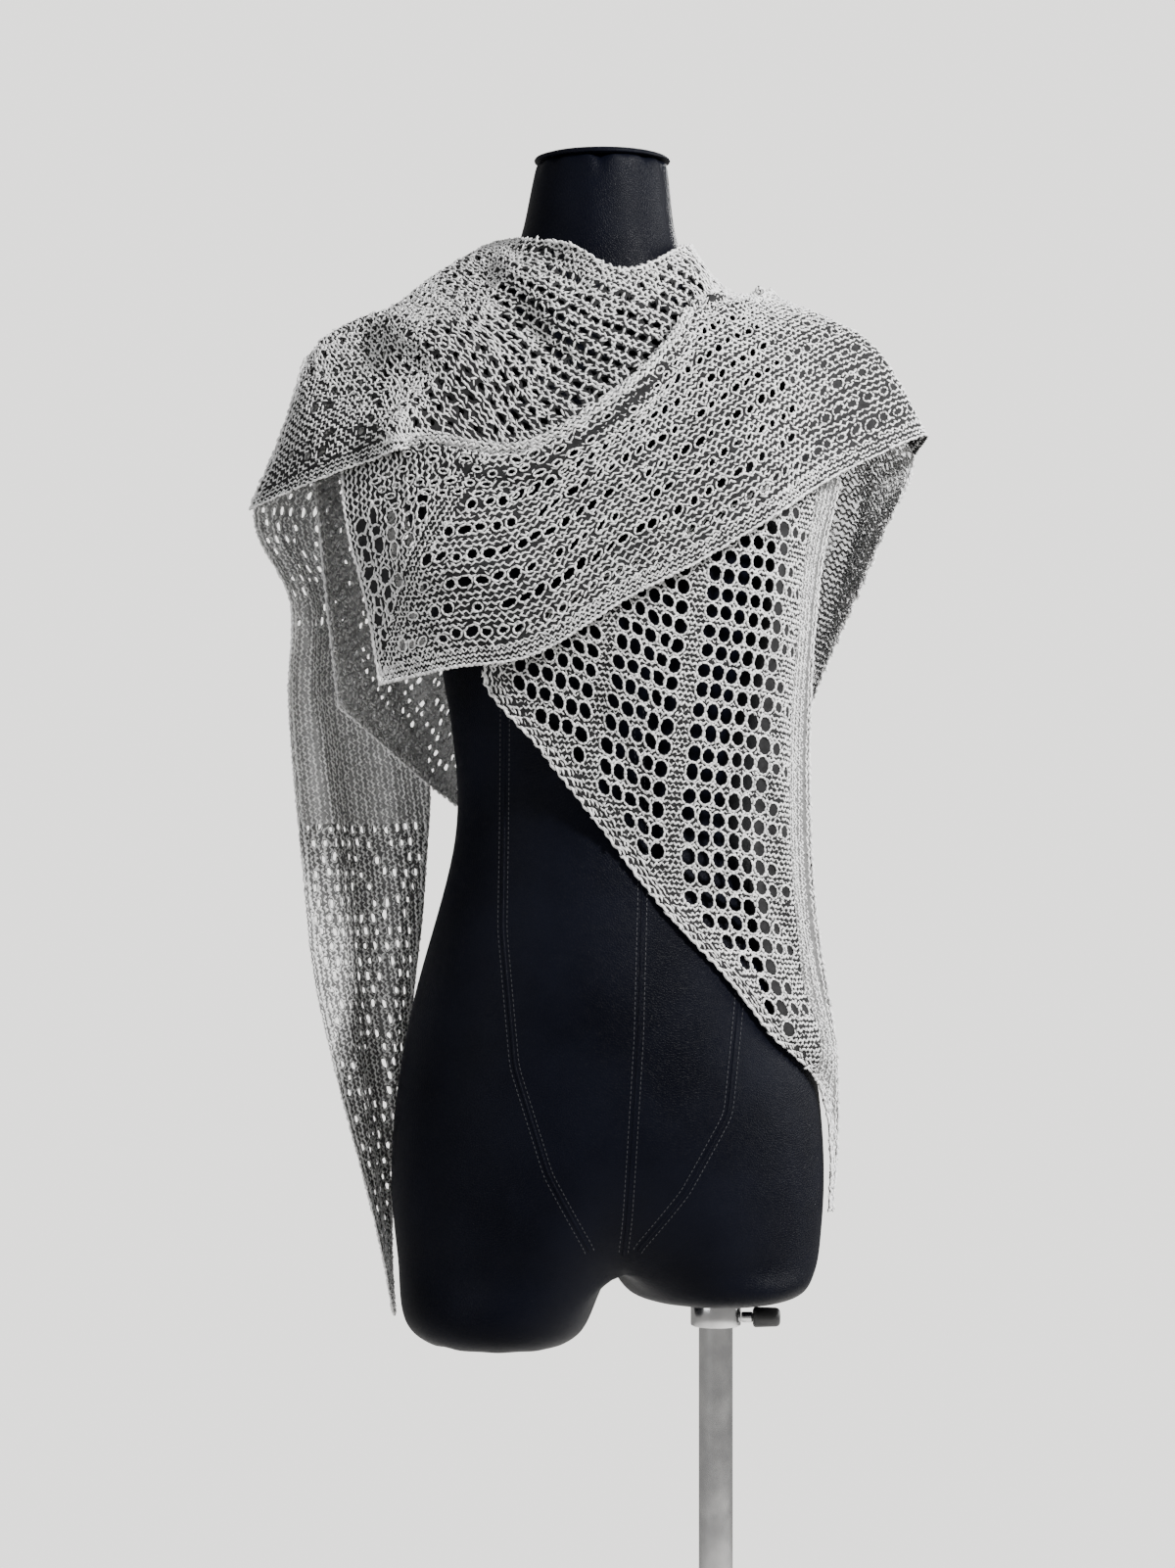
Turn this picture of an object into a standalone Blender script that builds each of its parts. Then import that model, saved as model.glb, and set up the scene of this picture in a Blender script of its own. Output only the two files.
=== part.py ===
"""A knitted triangle scarf wound round a limbless dress form on a round base.

Lengths are in millimetres until a mesh is made. The origin is the middle of the base's
underside, on the pole's axis. +Z is up, the wearer's front looks along -Y and +X is the
viewer's right. The form stands beside the pole's axis and is turned a little on it.

The scarf is one triangle of lace. Each stretch of it that shows is a closed wall, lofted
through the sections of its own table, kept clear of the form, and creased by its folds.
"""

import math
from collections import namedtuple

import bpy
import numpy as np

for old in list(bpy.data.objects):
    bpy.data.objects.remove(old, do_unlink=True)

MM = 0.001
SEAM_GAP = 0.3
CLOTH_WALL = 2.4
CLOTH_OFF_FORM = 1.1
NECK_OFF_FORM = 4.0
FRONT_OFF_FORM = 5.0

# Dress form. Its axis stands beside the pole, because the pole enters the left thigh.
FORM_AXIS_X = -80.0
FORM_AXIS_Y = 0.0
FORM_YAW = math.radians(10.0)
RING_POINTS = 32
PINCH_WIDTH = 34.0

FormSection = namedtuple("FormSection", "height half_width half_depth back side pinch")
FORM = [
    FormSection(704, 157, 100, 4, 3, 0.42),
    FormSection(722, 159, 106, 6, 3, 0.26),
    FormSection(750, 162, 110, 8, 3, 0.10),
    FormSection(790, 162, 112, 9, 3, 0.0),
    FormSection(840, 157, 110, 8, 3, 0.0),
    FormSection(897, 146, 104, 5, 2, 0.0),
    FormSection(948, 130, 94, 2, 1, 0.0),
    FormSection(998, 115, 84, 0, 0, 0.0),
    FormSection(1034, 110, 80, 0, 0, 0.0),
    FormSection(1075, 112, 86, -1, 0, 0.0),
    FormSection(1127, 120, 98, -3, 0, 0.0),
    FormSection(1170, 130, 110, -5, 0, 0.0),
    FormSection(1210, 139, 114, -5, 0, 0.0),
    FormSection(1250, 147, 112, -2, 0, 0.0),
    FormSection(1290, 160, 104, 2, 0, 0.0),
    FormSection(1325, 173, 94, 5, 0, 0.0),
    FormSection(1350, 176, 84, 7, 0, 0.0),
    FormSection(1372, 164, 76, 8, 0, 0.0),
    FormSection(1392, 136, 69, 8, -1, 0.0),
    FormSection(1410, 102, 63, 8, -2, 0.0),
    FormSection(1428, 75, 58, 6, -4, 0.0),
    FormSection(1450, 58, 55, 4, -6, 0.0),
    FormSection(1480, 53, 52, 3, -5, 0.0),
    FormSection(1512, 49, 49, 3, -3, 0.0),
]

THIGH_OUT = 82.0
THIGH_HALF_WIDTH = 71.0
THIGH_HALF_DEPTH = 86.0
THIGH_BOTTOM = {"viewer_left": 648.0, "viewer_right": 676.0}
CROTCH_POINTS = 5
CROTCH_ARCH = 8.0
THIGH_INNER_ARC = math.radians(100.0)

NECK_CAP_RADIUS = 50.0
NECK_CAP_RISE = 7.0

# Stand.
POLE_RADIUS = 12.5
POLE_CLEAR = 0.3
BASE_RADIUS = 175.0
BASE_EDGE = 7.0
BASE_TOP = 15.0
BOSS_RADIUS = 22.0
BOSS_TOP = 44.0
SOCKET_FLOOR = 9.0
COLLAR_RADIUS = 18.5
COLLAR_HEIGHT = 18.0
SCREW_RADIUS = 4.0
SCREW_OUT = 27.0
KNOB_RADIUS = 7.5
KNOB_LENGTH = 20.0
TURNED_POINTS = 24


def spline_weights(count, at):
    """Weights of count even knots for a smooth curve read at places from 0 to 1."""
    at = np.clip(np.asarray(at, float), 0.0, 1.0) * (count - 1)
    cell = np.minimum(at.astype(int), count - 2)
    t = at - cell
    basis = (
        -t / 2 + t**2 - t**3 / 2,
        1 - 2.5 * t**2 + 1.5 * t**3,
        t / 2 + 2 * t**2 - 1.5 * t**3,
        -(t**2) / 2 + t**3 / 2,
    )
    weights = np.zeros((len(at), count + 2))
    rows = np.arange(len(at))
    for step, value in enumerate(basis):
        np.add.at(weights, (rows, cell + step), value)
    # A curve runs straight on past its end knots.
    weights[:, 1] += 2 * weights[:, 0]
    weights[:, 2] -= weights[:, 0]
    weights[:, -2] += 2 * weights[:, -1]
    weights[:, -3] -= weights[:, -1]
    return weights[:, 1:-1]


def smooth_step(x):
    x = np.clip(x, 0.0, 1.0)
    return x * x * (3 - 2 * x)


def form_size(height):
    """Half width, half depth, shifts back and to the side, and pinch of the form at heights."""
    rows = np.array(FORM, float)
    knots = np.interp(height, rows[:, 0], np.linspace(0, 1, len(rows)))
    return spline_weights(len(rows), np.atleast_1d(knots)) @ rows[:, 1:]


def form_ring(height):
    """One level section of the form, from the front middle towards the viewer's right."""
    half_width, half_depth, back, side, pinch = form_size(height)[0]
    turn = np.arange(RING_POINTS) * 2 * math.pi / RING_POINTS
    across = half_width * np.sin(turn)
    pinched = 1 - pinch * np.exp(-((across / PINCH_WIDTH) ** 2))
    out = -half_depth * np.cos(turn) * pinched + back
    return np.column_stack((across + side, out, np.full(RING_POINTS, height)))


def turn_with_form(points):
    """Moves points from the form's own axes to the part's."""
    c, s = math.cos(FORM_YAW), math.sin(FORM_YAW)
    x = FORM_AXIS_X + points[..., 0] * c - points[..., 1] * s
    y = FORM_AXIS_Y + points[..., 0] * s + points[..., 1] * c
    return np.stack((x, y, points[..., 2]), axis=-1)


def keep_off_form(points, gap):
    """Pushes points level and outward until they are gap clear of the form."""
    shape = points.shape
    p = points.reshape(-1, 3)
    c, s = math.cos(FORM_YAW), math.sin(FORM_YAW)
    dx, dy = p[:, 0] - FORM_AXIS_X, p[:, 1] - FORM_AXIS_Y
    size = form_size(p[:, 2])
    slope = np.abs(form_size(p[:, 2] + 4.0) - form_size(p[:, 2] - 4.0))[:, 0] / 8.0
    across = dx * c + dy * s - size[:, 3]
    out = -dx * s + dy * c - size[:, 2]
    inside = np.hypot(across / size[:, 0], out / size[:, 1])
    reach = np.hypot(across, out)
    needed = reach / np.maximum(inside, 1e-6) + gap * np.sqrt(1 + slope**2)
    over = p[:, 2] < FORM[-1].height
    grow = np.where(over & (reach < needed), needed / np.maximum(reach, 1e-6), 1.0)
    across, out = across * grow + size[:, 3], out * grow + size[:, 2]
    moved = turn_with_form(np.column_stack((across, out, p[:, 2])))
    return moved.reshape(shape)


def normals_of(grid):
    """Unit normals of a grid of points, on the side that its rows and columns give."""
    along = np.gradient(grid, axis=0)
    across = np.gradient(grid, axis=1)
    n = np.cross(along, across)
    return n / np.maximum(np.linalg.norm(n, axis=2, keepdims=True), 1e-9)


def material(name, colour, roughness, metallic=0.0):
    made = bpy.data.materials.new(name)
    made.use_nodes = True
    shader = made.node_tree.nodes["Principled BSDF"]
    shader.inputs["Base Color"].default_value = (*colour, 1.0)
    shader.inputs["Roughness"].default_value = roughness
    shader.inputs["Metallic"].default_value = metallic
    return made


def add_mesh(name, points, faces, finish, smooth_angle=40.0):
    mesh = bpy.data.meshes.new(name)
    mesh.from_pydata([tuple(p) for p in np.asarray(points) * MM], [], faces)
    mesh.materials.append(finish)
    mesh.shade_smooth()
    mesh.set_sharp_from_angle(angle=math.radians(smooth_angle))
    made = bpy.data.objects.new(name, mesh)
    bpy.context.scene.collection.objects.link(made)
    return made


def cloth_wall(name, grid, normals, present, finish, wall=CLOTH_WALL):
    """A closed wall on a grid of points. Cells that aren't present are cut through, and
    points that coincide are one point, so a row may run out to nothing."""
    half = normals * wall / 2
    flat = grid.reshape(-1, 3)
    _, first, same = np.unique(
        np.round(flat, 3), axis=0, return_index=True, return_inverse=True
    )
    same = same.reshape(grid.shape[:2])
    lift = half.reshape(-1, 3)[first]
    count = len(first)
    points = np.concatenate((flat[first] + lift, flat[first] - lift))
    outer = []
    for i, j in zip(*np.nonzero(present)):
        corners = (same[i, j], same[i + 1, j], same[i + 1, j + 1], same[i, j + 1])
        loop = [c for k, c in enumerate(corners) if c != corners[k - 1]]
        if len(loop) >= 3:
            outer.append(loop)
    inner = [[c + count for c in reversed(loop)] for loop in outer]
    edges = {(loop[k - 1], c) for loop in outer for k, c in enumerate(loop)}
    rim = [edge for edge in sorted(edges) if edge[::-1] not in edges]
    sides = [[start, start + count, end + count, end] for start, end in rim]
    faces = outer + inner + sides
    used = sorted({c for face in faces for c in face})
    place = {old: new for new, old in enumerate(used)}
    faces = [[place[c] for c in face] for face in faces]
    return add_mesh(name, points[used], faces, finish)


def crease(grid, along, across, folds):
    """Adds soft ridges, or troughs where the height is negative, along straight paths."""
    u, v = np.meshgrid(along, across, indexing="ij")
    normal = normals_of(grid)
    lift = np.zeros_like(u)
    for f in folds:
        du, dv = f.end_along - f.start_along, f.end_across - f.start_across
        run = ((u - f.start_along) * du + (v - f.start_across) * dv) / (du * du + dv * dv)
        nearest = np.clip(run, 0, 1)
        off = np.hypot(u - f.start_along - nearest * du, v - f.start_across - nearest * dv)
        fade = smooth_step(1.0 - np.abs(nearest - 0.5) * 2 * 0.9)
        lift += f.height * fade * np.exp(-((off / f.width) ** 2))
    return grid + normal * lift[..., None]


def loft(sections, along, across):
    """A smooth sheet through sections, read at places along and across from 0 to 1."""
    knots = np.array(sections, float)
    down = spline_weights(knots.shape[0], along)
    over = spline_weights(knots.shape[1], across)
    return np.einsum("ur,rck,vc->uvk", down, knots, over)


# Front stretch: from the point at the viewer's left, over the chest, to the viewer's right
# shoulder. Each section runs from the rolled upper edge down to the hem, and roll is how
# far the rolled edge stands out there.
FrontSection = namedtuple("FrontSection", "roll crest upper belly hem")
FRONT_STRETCH = [
    FrontSection(1, (-271, -62, 1293), (-267, -72, 1243), (-252, -80, 1185), (-242, -85, 1126)),
    FrontSection(6, (-204, -106, 1303), (-200, -118, 1248), (-197, -120, 1193), (-190, -112, 1137)),
    FrontSection(8, (-141, -124, 1297), (-139, -133, 1247), (-135, -137, 1195), (-131, -130, 1146)),
    FrontSection(9, (-77, -120, 1333), (-75, -133, 1281), (-72, -139, 1229), (-68, -136, 1184)),
    FrontSection(9, (-41, -98, 1369), (-33, -119, 1316), (-25, -133, 1260), (-18, -133, 1210)),
    FrontSection(7, (-17, -66, 1402), (6, -98, 1350), (21, -114, 1297), (36, -116, 1243)),
    FrontSection(4, (23, -18, 1414), (47, -55, 1376), (67, -76, 1320), (81, -82, 1274)),
    FrontSection(1, (38, 25, 1420), (92, 10, 1395), (122, -5, 1368), (152, -2, 1311)),
    FrontSection(1, (40, 58, 1408), (90, 52, 1376), (122, 38, 1342), (149, 30, 1300)),
]
ROLL_LIP_DEEP = 1.4
ROLL_LIP_LOW = 1.6
ROLL_FRONT_LOW = 1.0
ROLL_VALLEY_LOW = 2.5

# Neck stretch: from the flap off the viewer's left shoulder, round the front of the neck,
# to the back of the neck at the viewer's right. Sections run from behind the shoulder's
# ridge to the lower edge.
NeckSection = namedtuple("NeckSection", "behind ridge middle lower")
NECK_STRETCH = [
    NeckSection((-299, 20, 1356), (-302, 6, 1368), (-318, -4, 1314), (-342, -10, 1256)),
    NeckSection((-281, 26, 1376), (-283, 6, 1388), (-294, -36, 1320), (-307, -46, 1267)),
    NeckSection((-239, 32, 1396), (-241, 8, 1405), (-250, -60, 1340), (-258, -82, 1282)),
    NeckSection((-198, 38, 1424), (-199, 12, 1436), (-200, -68, 1372), (-211, -96, 1310)),
    NeckSection((-156, 36, 1446), (-158, 6, 1453), (-150, -80, 1377), (-144, -102, 1284)),
    NeckSection((-114, -57, 1446), (-112, -59, 1440), (-101, -86, 1383), (-84, -104, 1312)),
    NeckSection((-67, -68, 1424), (-66, -72, 1417), (-56, -82, 1388), (-42, -88, 1350)),
    NeckSection((-24, -32, 1446), (-21, -38, 1440), (-14, -46, 1424), (-4, -52, 1398)),
    NeckSection((-18, 20, 1450), (-14, 18, 1444), (-2, 18, 1430), (12, 16, 1412)),
]
NECK_FREE_FROM = 4.3 / 8
NECK_UNDER_FROM = 3.2 / 8
FLAP_TO = 3.0 / 8

# Back stretch: the panel down the back, from the viewer's left round to the right shoulder.
BackSection = namedtuple("BackSection", "top blade waist hem")
BACK_STRETCH = [
    BackSection((-299, 22, 1355), (-296, 12, 1290), (-287, 2, 1200), (-277, -5, 1112)),
    BackSection((-281, 28, 1375), (-276, 34, 1310), (-268, 28, 1190), (-252, 14, 1090)),
    BackSection((-239, 34, 1395), (-240, 66, 1325), (-236, 58, 1180), (-219, 40, 1060)),
    BackSection((-198, 40, 1423), (-206, 84, 1355), (-202, 92, 1200), (-186, 76, 1034)),
    BackSection((-156, 40, 1445), (-165, 92, 1380), (-162, 112, 1230), (-150, 104, 1006)),
    BackSection((-84, 66, 1460), (-84, 98, 1390), (-80, 122, 1240), (-75, 112, 950)),
    BackSection((-30, 50, 1450), (-20, 92, 1385), (-10, 120, 1230), (-15, 112, 916)),
    BackSection((40, 60, 1407), (46, 92, 1350), (52, 104, 1220), (45, 88, 1030)),
    BackSection((90, 54, 1375), (98, 78, 1325), (99, 76, 1240), (76, 42, 1124)),
    BackSection((122, 40, 1341), (128, 56, 1305), (124, 46, 1262), (106, 26, 1194)),
    BackSection((149, 32, 1299), (148, 38, 1290), (144, 32, 1280), (137, 18, 1268)),
]

# Lace. Repeats and gaps of the front tail's eyelets and of the front stretch's.
EYELET_ROW = 14.0
EYELET_TALL = 9.6
EYELET_COLUMN = 11.4
EYELET_WIDE = 7.8
EYELET_EDGE = 1.0
RIB_BAND = 42.0
EDGE_BAND = 14.0
SOLID_COLUMNS = (8, 12)
HIDDEN_ROWS = 5
LACE_EDGE = 16.0
LACE_COLUMN = 11.8
LACE_WIDE = 7.8
LACE_COLUMNS = 9
LACE_TOP = 0.53
LACE_ROW = 0.073
LACE_TALL = 0.027
LACE_ROWS = 6
LACE_FOOT = 0.96
ROLL_PLACES = (0.0, 0.09, 0.167, 0.25, 0.333, 0.42, 0.48)
PLAIN_CELLS = 17
FINE_ROWS = 200
FINE_COLUMNS = 60
SEAM_ROOM = 1.6
SEAM_REACH = 16.0
TAIL_TOP_ROWS = 3
TAIL_TOP_COLUMN = 1
TAIL_GAP = 0.9
NECK_CELLS = (28, 10)
BACK_CELLS = (26, 12)
REAR_CELLS = (30, 8)
LAY_REACH = 12.0
LAY_GAP = 5.6

# Front tail: hangs from under the front stretch and runs out to a point on the hip.
# Sections run from the straight edge at the viewer's right to the slanting edge.
FrontTailSection = namedtuple("FrontTailSection", "right inner outer left")
FRONT_TAIL = [
    FrontTailSection((88, -42, 1275), (80, -58, 1277), (68, -72, 1279), (55, -84, 1280)),
    FrontTailSection((76, -30, 1219), (50, -80, 1224), (12, -108, 1229), (-26, -122, 1234)),
    FrontTailSection((70, -24, 1156), (38, -82, 1165), (-35, -120, 1174), (-115, -124, 1182)),
    FrontTailSection((68, -18, 1101), (32, -72, 1112), (-60, -114, 1124), (-169, -98, 1136)),
    FrontTailSection((68, -15, 1052), (35, -62, 1061), (-40, -95, 1070), (-129, -96, 1080)),
    FrontTailSection((70, -12, 1000), (40, -52, 1007), (-18, -80, 1014), (-82, -88, 1020)),
    FrontTailSection((75, -5, 948), (50, -40, 953), (8, -64, 958), (-40, -78, 962)),
    FrontTailSection((82, 2, 905), (66, -22, 909), (38, -48, 912), (0, -66, 915)),
    FrontTailSection((88, 8, 867), (80, -15, 869), (62, -36, 870), (36, -50, 872)),
    FrontTailSection((91, 18, 826), (88, 12, 827), (83, 6, 828), (76, -2, 828)),
    FrontTailSection((90, 18, 785), (88, 14, 785), (86, 9, 785), (84, 4, 785)),
    FrontTailSection((86, 12, 740), (85, 9, 740), (84, 6, 741), (83, 3, 742)),
]

# Rear tail: hangs free behind the hip at the viewer's left. Sections run from its outer edge.
RearTailSection = namedtuple("RearTailSection", "outer middle inner")
REAR_TAIL = [
    RearTailSection((-322, 12, 1312), (-306, 34, 1320), (-288, 46, 1322)),
    RearTailSection((-340, 6, 1257), (-312, 30, 1257), (-280, 46, 1257)),
    RearTailSection((-313, 6, 1192), (-293, 30, 1192), (-270, 46, 1192)),
    RearTailSection((-314, 6, 1127), (-288, 34, 1127), (-256, 54, 1127)),
    RearTailSection((-312, 6, 1080), (-274, 36, 1080), (-216, 72, 1080)),
    RearTailSection((-303, 6, 984), (-262, 32, 984), (-216, 60, 984)),
    RearTailSection((-295, 6, 912), (-260, 32, 912), (-223, 58, 912)),
    RearTailSection((-277, 8, 832), (-254, 34, 832), (-232, 60, 832)),
    RearTailSection((-254, 10, 746), (-247, 34, 746), (-240, 56, 746)),
    RearTailSection((-244, 12, 702), (-242, 28, 702), (-240, 42, 702)),
    RearTailSection((-237, 16, 662), (-237, 22, 661), (-237, 28, 662)),
]


# The largest creases of each stretch, as places from 0 to 1 along it and across it.
Fold = namedtuple("Fold", "start_along start_across end_along end_across width height")
FRONT_FOLDS = [
    Fold(0.10, 0.62, 0.62, 0.52, 0.035, 4.0),
    Fold(0.16, 0.50, 0.50, 0.44, 0.030, -3.5),
    Fold(0.30, 0.74, 0.80, 0.66, 0.040, 3.0),
    Fold(0.55, 0.90, 0.92, 0.82, 0.040, 3.0),
]
NECK_FOLDS = [
    Fold(0.06, 0.40, 0.36, 0.86, 0.050, 6.0),
    Fold(0.18, 0.36, 0.40, 0.66, 0.040, -4.0),
    Fold(0.30, 0.30, 0.62, 0.86, 0.040, 5.0),
    Fold(0.44, 0.30, 0.68, 0.72, 0.035, -3.5),
    Fold(0.52, 0.30, 0.76, 0.72, 0.035, 4.0),
]
BACK_FOLDS = [
    Fold(0.16, 0.20, 0.46, 0.46, 0.050, 7.0),
    Fold(0.84, 0.20, 0.54, 0.46, 0.050, 7.0),
    Fold(0.20, 0.42, 0.48, 0.66, 0.050, 7.0),
    Fold(0.80, 0.42, 0.56, 0.66, 0.050, 7.0),
    Fold(0.42, 0.60, 0.48, 0.98, 0.040, 6.0),
    Fold(0.62, 0.60, 0.60, 0.98, 0.040, -6.0),
]
REAR_FOLDS = [
    Fold(0.02, 0.28, 0.90, 0.24, 0.100, 6.0),
    Fold(0.10, 0.52, 0.92, 0.50, 0.100, -5.0),
    Fold(0.30, 0.80, 0.90, 0.78, 0.100, 6.0),
]
FRONT_TAIL_FOLDS = [
    Fold(0.10, 0.10, 0.80, 0.12, 0.060, 3.0),
    Fold(0.25, 0.42, 0.75, 0.30, 0.080, 2.5),
]


def build_form(finish):
    """The torso: level rings from the crotch to the neck, and a short stump for each thigh."""
    rings = [form_ring(row.height) for row in FORM]
    points = [tuple(p) for ring in rings for p in ring]
    faces = []
    for k in range(len(rings) - 1):
        low, high = k * RING_POINTS, (k + 1) * RING_POINTS
        for i in range(RING_POINTS):
            j = (i + 1) % RING_POINTS
            faces.append([low + i, low + j, high + j, high + i])
    top = (len(rings) - 1) * RING_POINTS
    faces.append([top + i for i in range(RING_POINTS)])

    half = RING_POINTS // 2
    front, back = rings[0][0], rings[0][half]
    crotch = []
    for k in range(1, CROTCH_POINTS + 1):
        share = k / (CROTCH_POINTS + 1)
        place = back + (front - back) * share
        crotch.append(len(points))
        points.append((0.0, place[1], place[2] + CROTCH_ARCH * math.sin(math.pi * share)))

    levels = ((0.4, 0.7, 1.0), (0.68, 1.0, 0.97), (0.88, 1.0, 0.88), (1.0, 1.0, 0.7))
    outer_count, inner_count = half + 1, CROTCH_POINTS
    for side, bottom in (("viewer_right", 1), ("viewer_left", -1)):
        outer = [i % RING_POINTS for i in range(half + 1)]
        inner = list(crotch)
        if bottom < 0:
            outer = [(half + i) % RING_POINTS for i in range(half + 1)]
            inner = crotch[::-1]
        loop = outer + inner
        start = np.array([points[i] for i in loop])
        open_turn = 2 * math.pi - THIGH_INNER_ARC
        outer_turn = THIGH_INNER_ARC / 2 + open_turn * np.arange(outer_count) / (outer_count - 1)
        inner_turn = THIGH_INNER_ARC * (np.arange(inner_count) + 1) / (inner_count + 1)
        inner_turn = 2 * math.pi - THIGH_INNER_ARC / 2 + inner_turn
        turn = np.concatenate((outer_turn, inner_turn))
        # A turn of 0 points to the other thigh. Both loops run the same way round.
        x = bottom * (THIGH_OUT - THIGH_HALF_WIDTH * np.cos(turn))
        y = -bottom * THIGH_HALF_DEPTH * np.sin(turn) + 3.0
        before = loop
        for drop, blend, scale in levels:
            height = FORM[0].height + (THIGH_BOTTOM[side] - FORM[0].height) * drop
            ring = start.copy()
            ring[:, 0] += (bottom * THIGH_OUT + (x - bottom * THIGH_OUT) * scale - ring[:, 0]) * blend
            ring[:, 1] += (y * scale - ring[:, 1]) * blend
            ring[:, 2] = height
            this = list(range(len(points), len(points) + len(ring)))
            points.extend(tuple(p) for p in ring)
            for k in range(len(loop)):
                n = (k + 1) % len(loop)
                faces.append([this[k], this[n], before[n], before[k]])
            before = this
        faces.append(before[::-1])
    return add_mesh("torso", turn_with_form(np.array(points)), faces, finish)


def turned(name, profile, finish, centre=(0.0, 0.0), points_round=TURNED_POINTS):
    """A turned solid. The profile runs from the bottom on the axis to the top on the axis,
    or right round a ring."""
    on_axis = profile[0][0] == 0
    points, faces, rows = [], [], []
    for radius, height in profile:
        if radius == 0:
            rows.append([len(points)])
            points.append((centre[0], centre[1], height))
            continue
        rows.append(list(range(len(points), len(points) + points_round)))
        for k in range(points_round):
            turn = 2 * math.pi * k / points_round
            x, y = radius * math.cos(turn), radius * math.sin(turn)
            points.append((centre[0] + x, centre[1] + y, height))
    pairs = list(zip(rows, rows[1:]))
    if not on_axis:
        pairs.append((rows[-1], rows[0]))
    for low, high in pairs:
        for k in range(points_round):
            n = (k + 1) % points_round
            loop = [low[k % len(low)], low[n % len(low)], high[n % len(high)], high[k % len(high)]]
            loop = [c for i, c in enumerate(loop) if c != loop[i - 1]]
            faces.append(loop)
    return add_mesh(name, points, faces, finish)


def lie_along_x(made, start, height):
    """Turns a solid that was made up the Z axis to point along +X, from start."""
    for vertex in made.data.vertices:
        x, y, z = vertex.co
        vertex.co = (z + start * MM, y, -x + height * MM)


def build_stand(chrome, black):
    socket = POLE_RADIUS + POLE_CLEAR
    turned(
        "stand_base",
        [
            (0, 0), (BASE_RADIUS - 6, 0), (BASE_RADIUS, 3), (BASE_RADIUS, BASE_EDGE),
            (BASE_RADIUS - 4, BASE_EDGE + 2), (60, BASE_TOP - 2), (BOSS_RADIUS + 3, BASE_TOP),
            (BOSS_RADIUS, BASE_TOP + 4), (BOSS_RADIUS, BOSS_TOP - 2), (BOSS_RADIUS - 2, BOSS_TOP),
            (socket, BOSS_TOP), (socket, SOCKET_FLOOR), (0, SOCKET_FLOOR),
        ],
        chrome,
    )
    thigh_bottom = THIGH_BOTTOM["viewer_right"]
    top = thigh_bottom - SEAM_GAP
    foot = SOCKET_FLOOR + SEAM_GAP
    turned("stand_pole", [(0, foot), (POLE_RADIUS, foot), (POLE_RADIUS, top), (0, top)], chrome)
    low = top - COLLAR_HEIGHT
    turned(
        "clamp_collar",
        [
            (socket, low), (COLLAR_RADIUS - 1, low), (COLLAR_RADIUS, low + 1),
            (COLLAR_RADIUS, top - 1), (COLLAR_RADIUS - 1, top), (socket, top),
        ],
        chrome,
    )
    height = low + 6
    start = COLLAR_RADIUS + SEAM_GAP
    screw = turned(
        "clamp_screw",
        [(0, 0), (SCREW_RADIUS, 0), (SCREW_RADIUS, SCREW_OUT - start), (0, SCREW_OUT - start)],
        chrome,
        points_round=16,
    )
    lie_along_x(screw, start, height)
    knob = turned(
        "clamp_knob",
        [
            (0, 0), (KNOB_RADIUS - 1.5, 0), (KNOB_RADIUS, 1.5), (KNOB_RADIUS - 0.5, KNOB_LENGTH - 3),
            (KNOB_RADIUS - 3, KNOB_LENGTH), (0, KNOB_LENGTH),
        ],
        black,
        points_round=16,
    )
    lie_along_x(knob, SCREW_OUT + SEAM_GAP, height)


def build_neck_cap(finish):
    low = FORM[-1].height + SEAM_GAP
    centre = turn_with_form(np.array([FORM[-1].side, FORM[-1].back, low]))
    turned(
        "neck_cap",
        [
            (0, low), (NECK_CAP_RADIUS - 1, low), (NECK_CAP_RADIUS, low + 1.2),
            (NECK_CAP_RADIUS - 0.6, low + 2.6), (NECK_CAP_RADIUS - 4, low + 4.2),
            (NECK_CAP_RADIUS * 0.55, low + NECK_CAP_RISE - 1), (0, low + NECK_CAP_RISE),
        ],
        finish,
        centre=(centre[0], centre[1]),
    )


def with_roll(row):
    """A front section with its rolled edge: lip, crest, front of the roll, and the valley."""
    crest, upper = np.array(row.crest, float), np.array(row.upper, float)
    down = (upper - crest) / np.linalg.norm(upper - crest)
    form_middle = np.array((FORM_AXIS_X, FORM_AXIS_Y, crest[2] - 40.0))
    out = crest - form_middle
    out -= down * np.dot(out, down)
    out /= np.linalg.norm(out)
    lip = crest - out * row.roll * ROLL_LIP_DEEP + down * row.roll * ROLL_LIP_LOW
    front = crest + out * row.roll * 0.8 + down * (3 + row.roll * ROLL_FRONT_LOW)
    valley = crest + down * (6 + row.roll * ROLL_VALLEY_LOW) - out * row.roll * 0.3
    return (lip, crest, front, valley, upper, row.belly, row.hem)


def lengths_along(line):
    """Distance from the start of a line of points to each of them."""
    steps = np.linalg.norm(np.diff(line, axis=0), axis=1)
    return np.concatenate(([0.0], np.cumsum(steps)))


def spaced(length, pitch, wide):
    """Places that take turns: a gap's far side, then a bar's, until the length is used up."""
    places = [0.0]
    while places[-1] + pitch < length:
        places += [places[-1] + wide, places[-1] + pitch]
    return np.array(places + [length])


def join_to(grid, border, reach):
    """Moves the first points across, where they lie within reach of a border, on to it but
    for the seam's gap, and eases the points next to them."""
    moved = grid.copy()
    for i, point in enumerate(grid[:, 0]):
        off = np.linalg.norm(border - point, axis=1)
        nearest = int(np.argmin(off))
        if off[nearest] > reach:
            continue
        inward = grid[i, 1] - point
        inward /= np.linalg.norm(inward)
        shift = border[nearest] + inward * SEAM_ROOM - point
        for j, share in enumerate((1.0, 0.6, 0.25)):
            moved[i, j] += shift * share
    return moved


def sheet_grid(sections, along, across, folds, gap):
    grid = crease(loft(sections, along, across), along, across, folds)
    return keep_off_form(grid, gap + CLOTH_WALL / 2)


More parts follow.
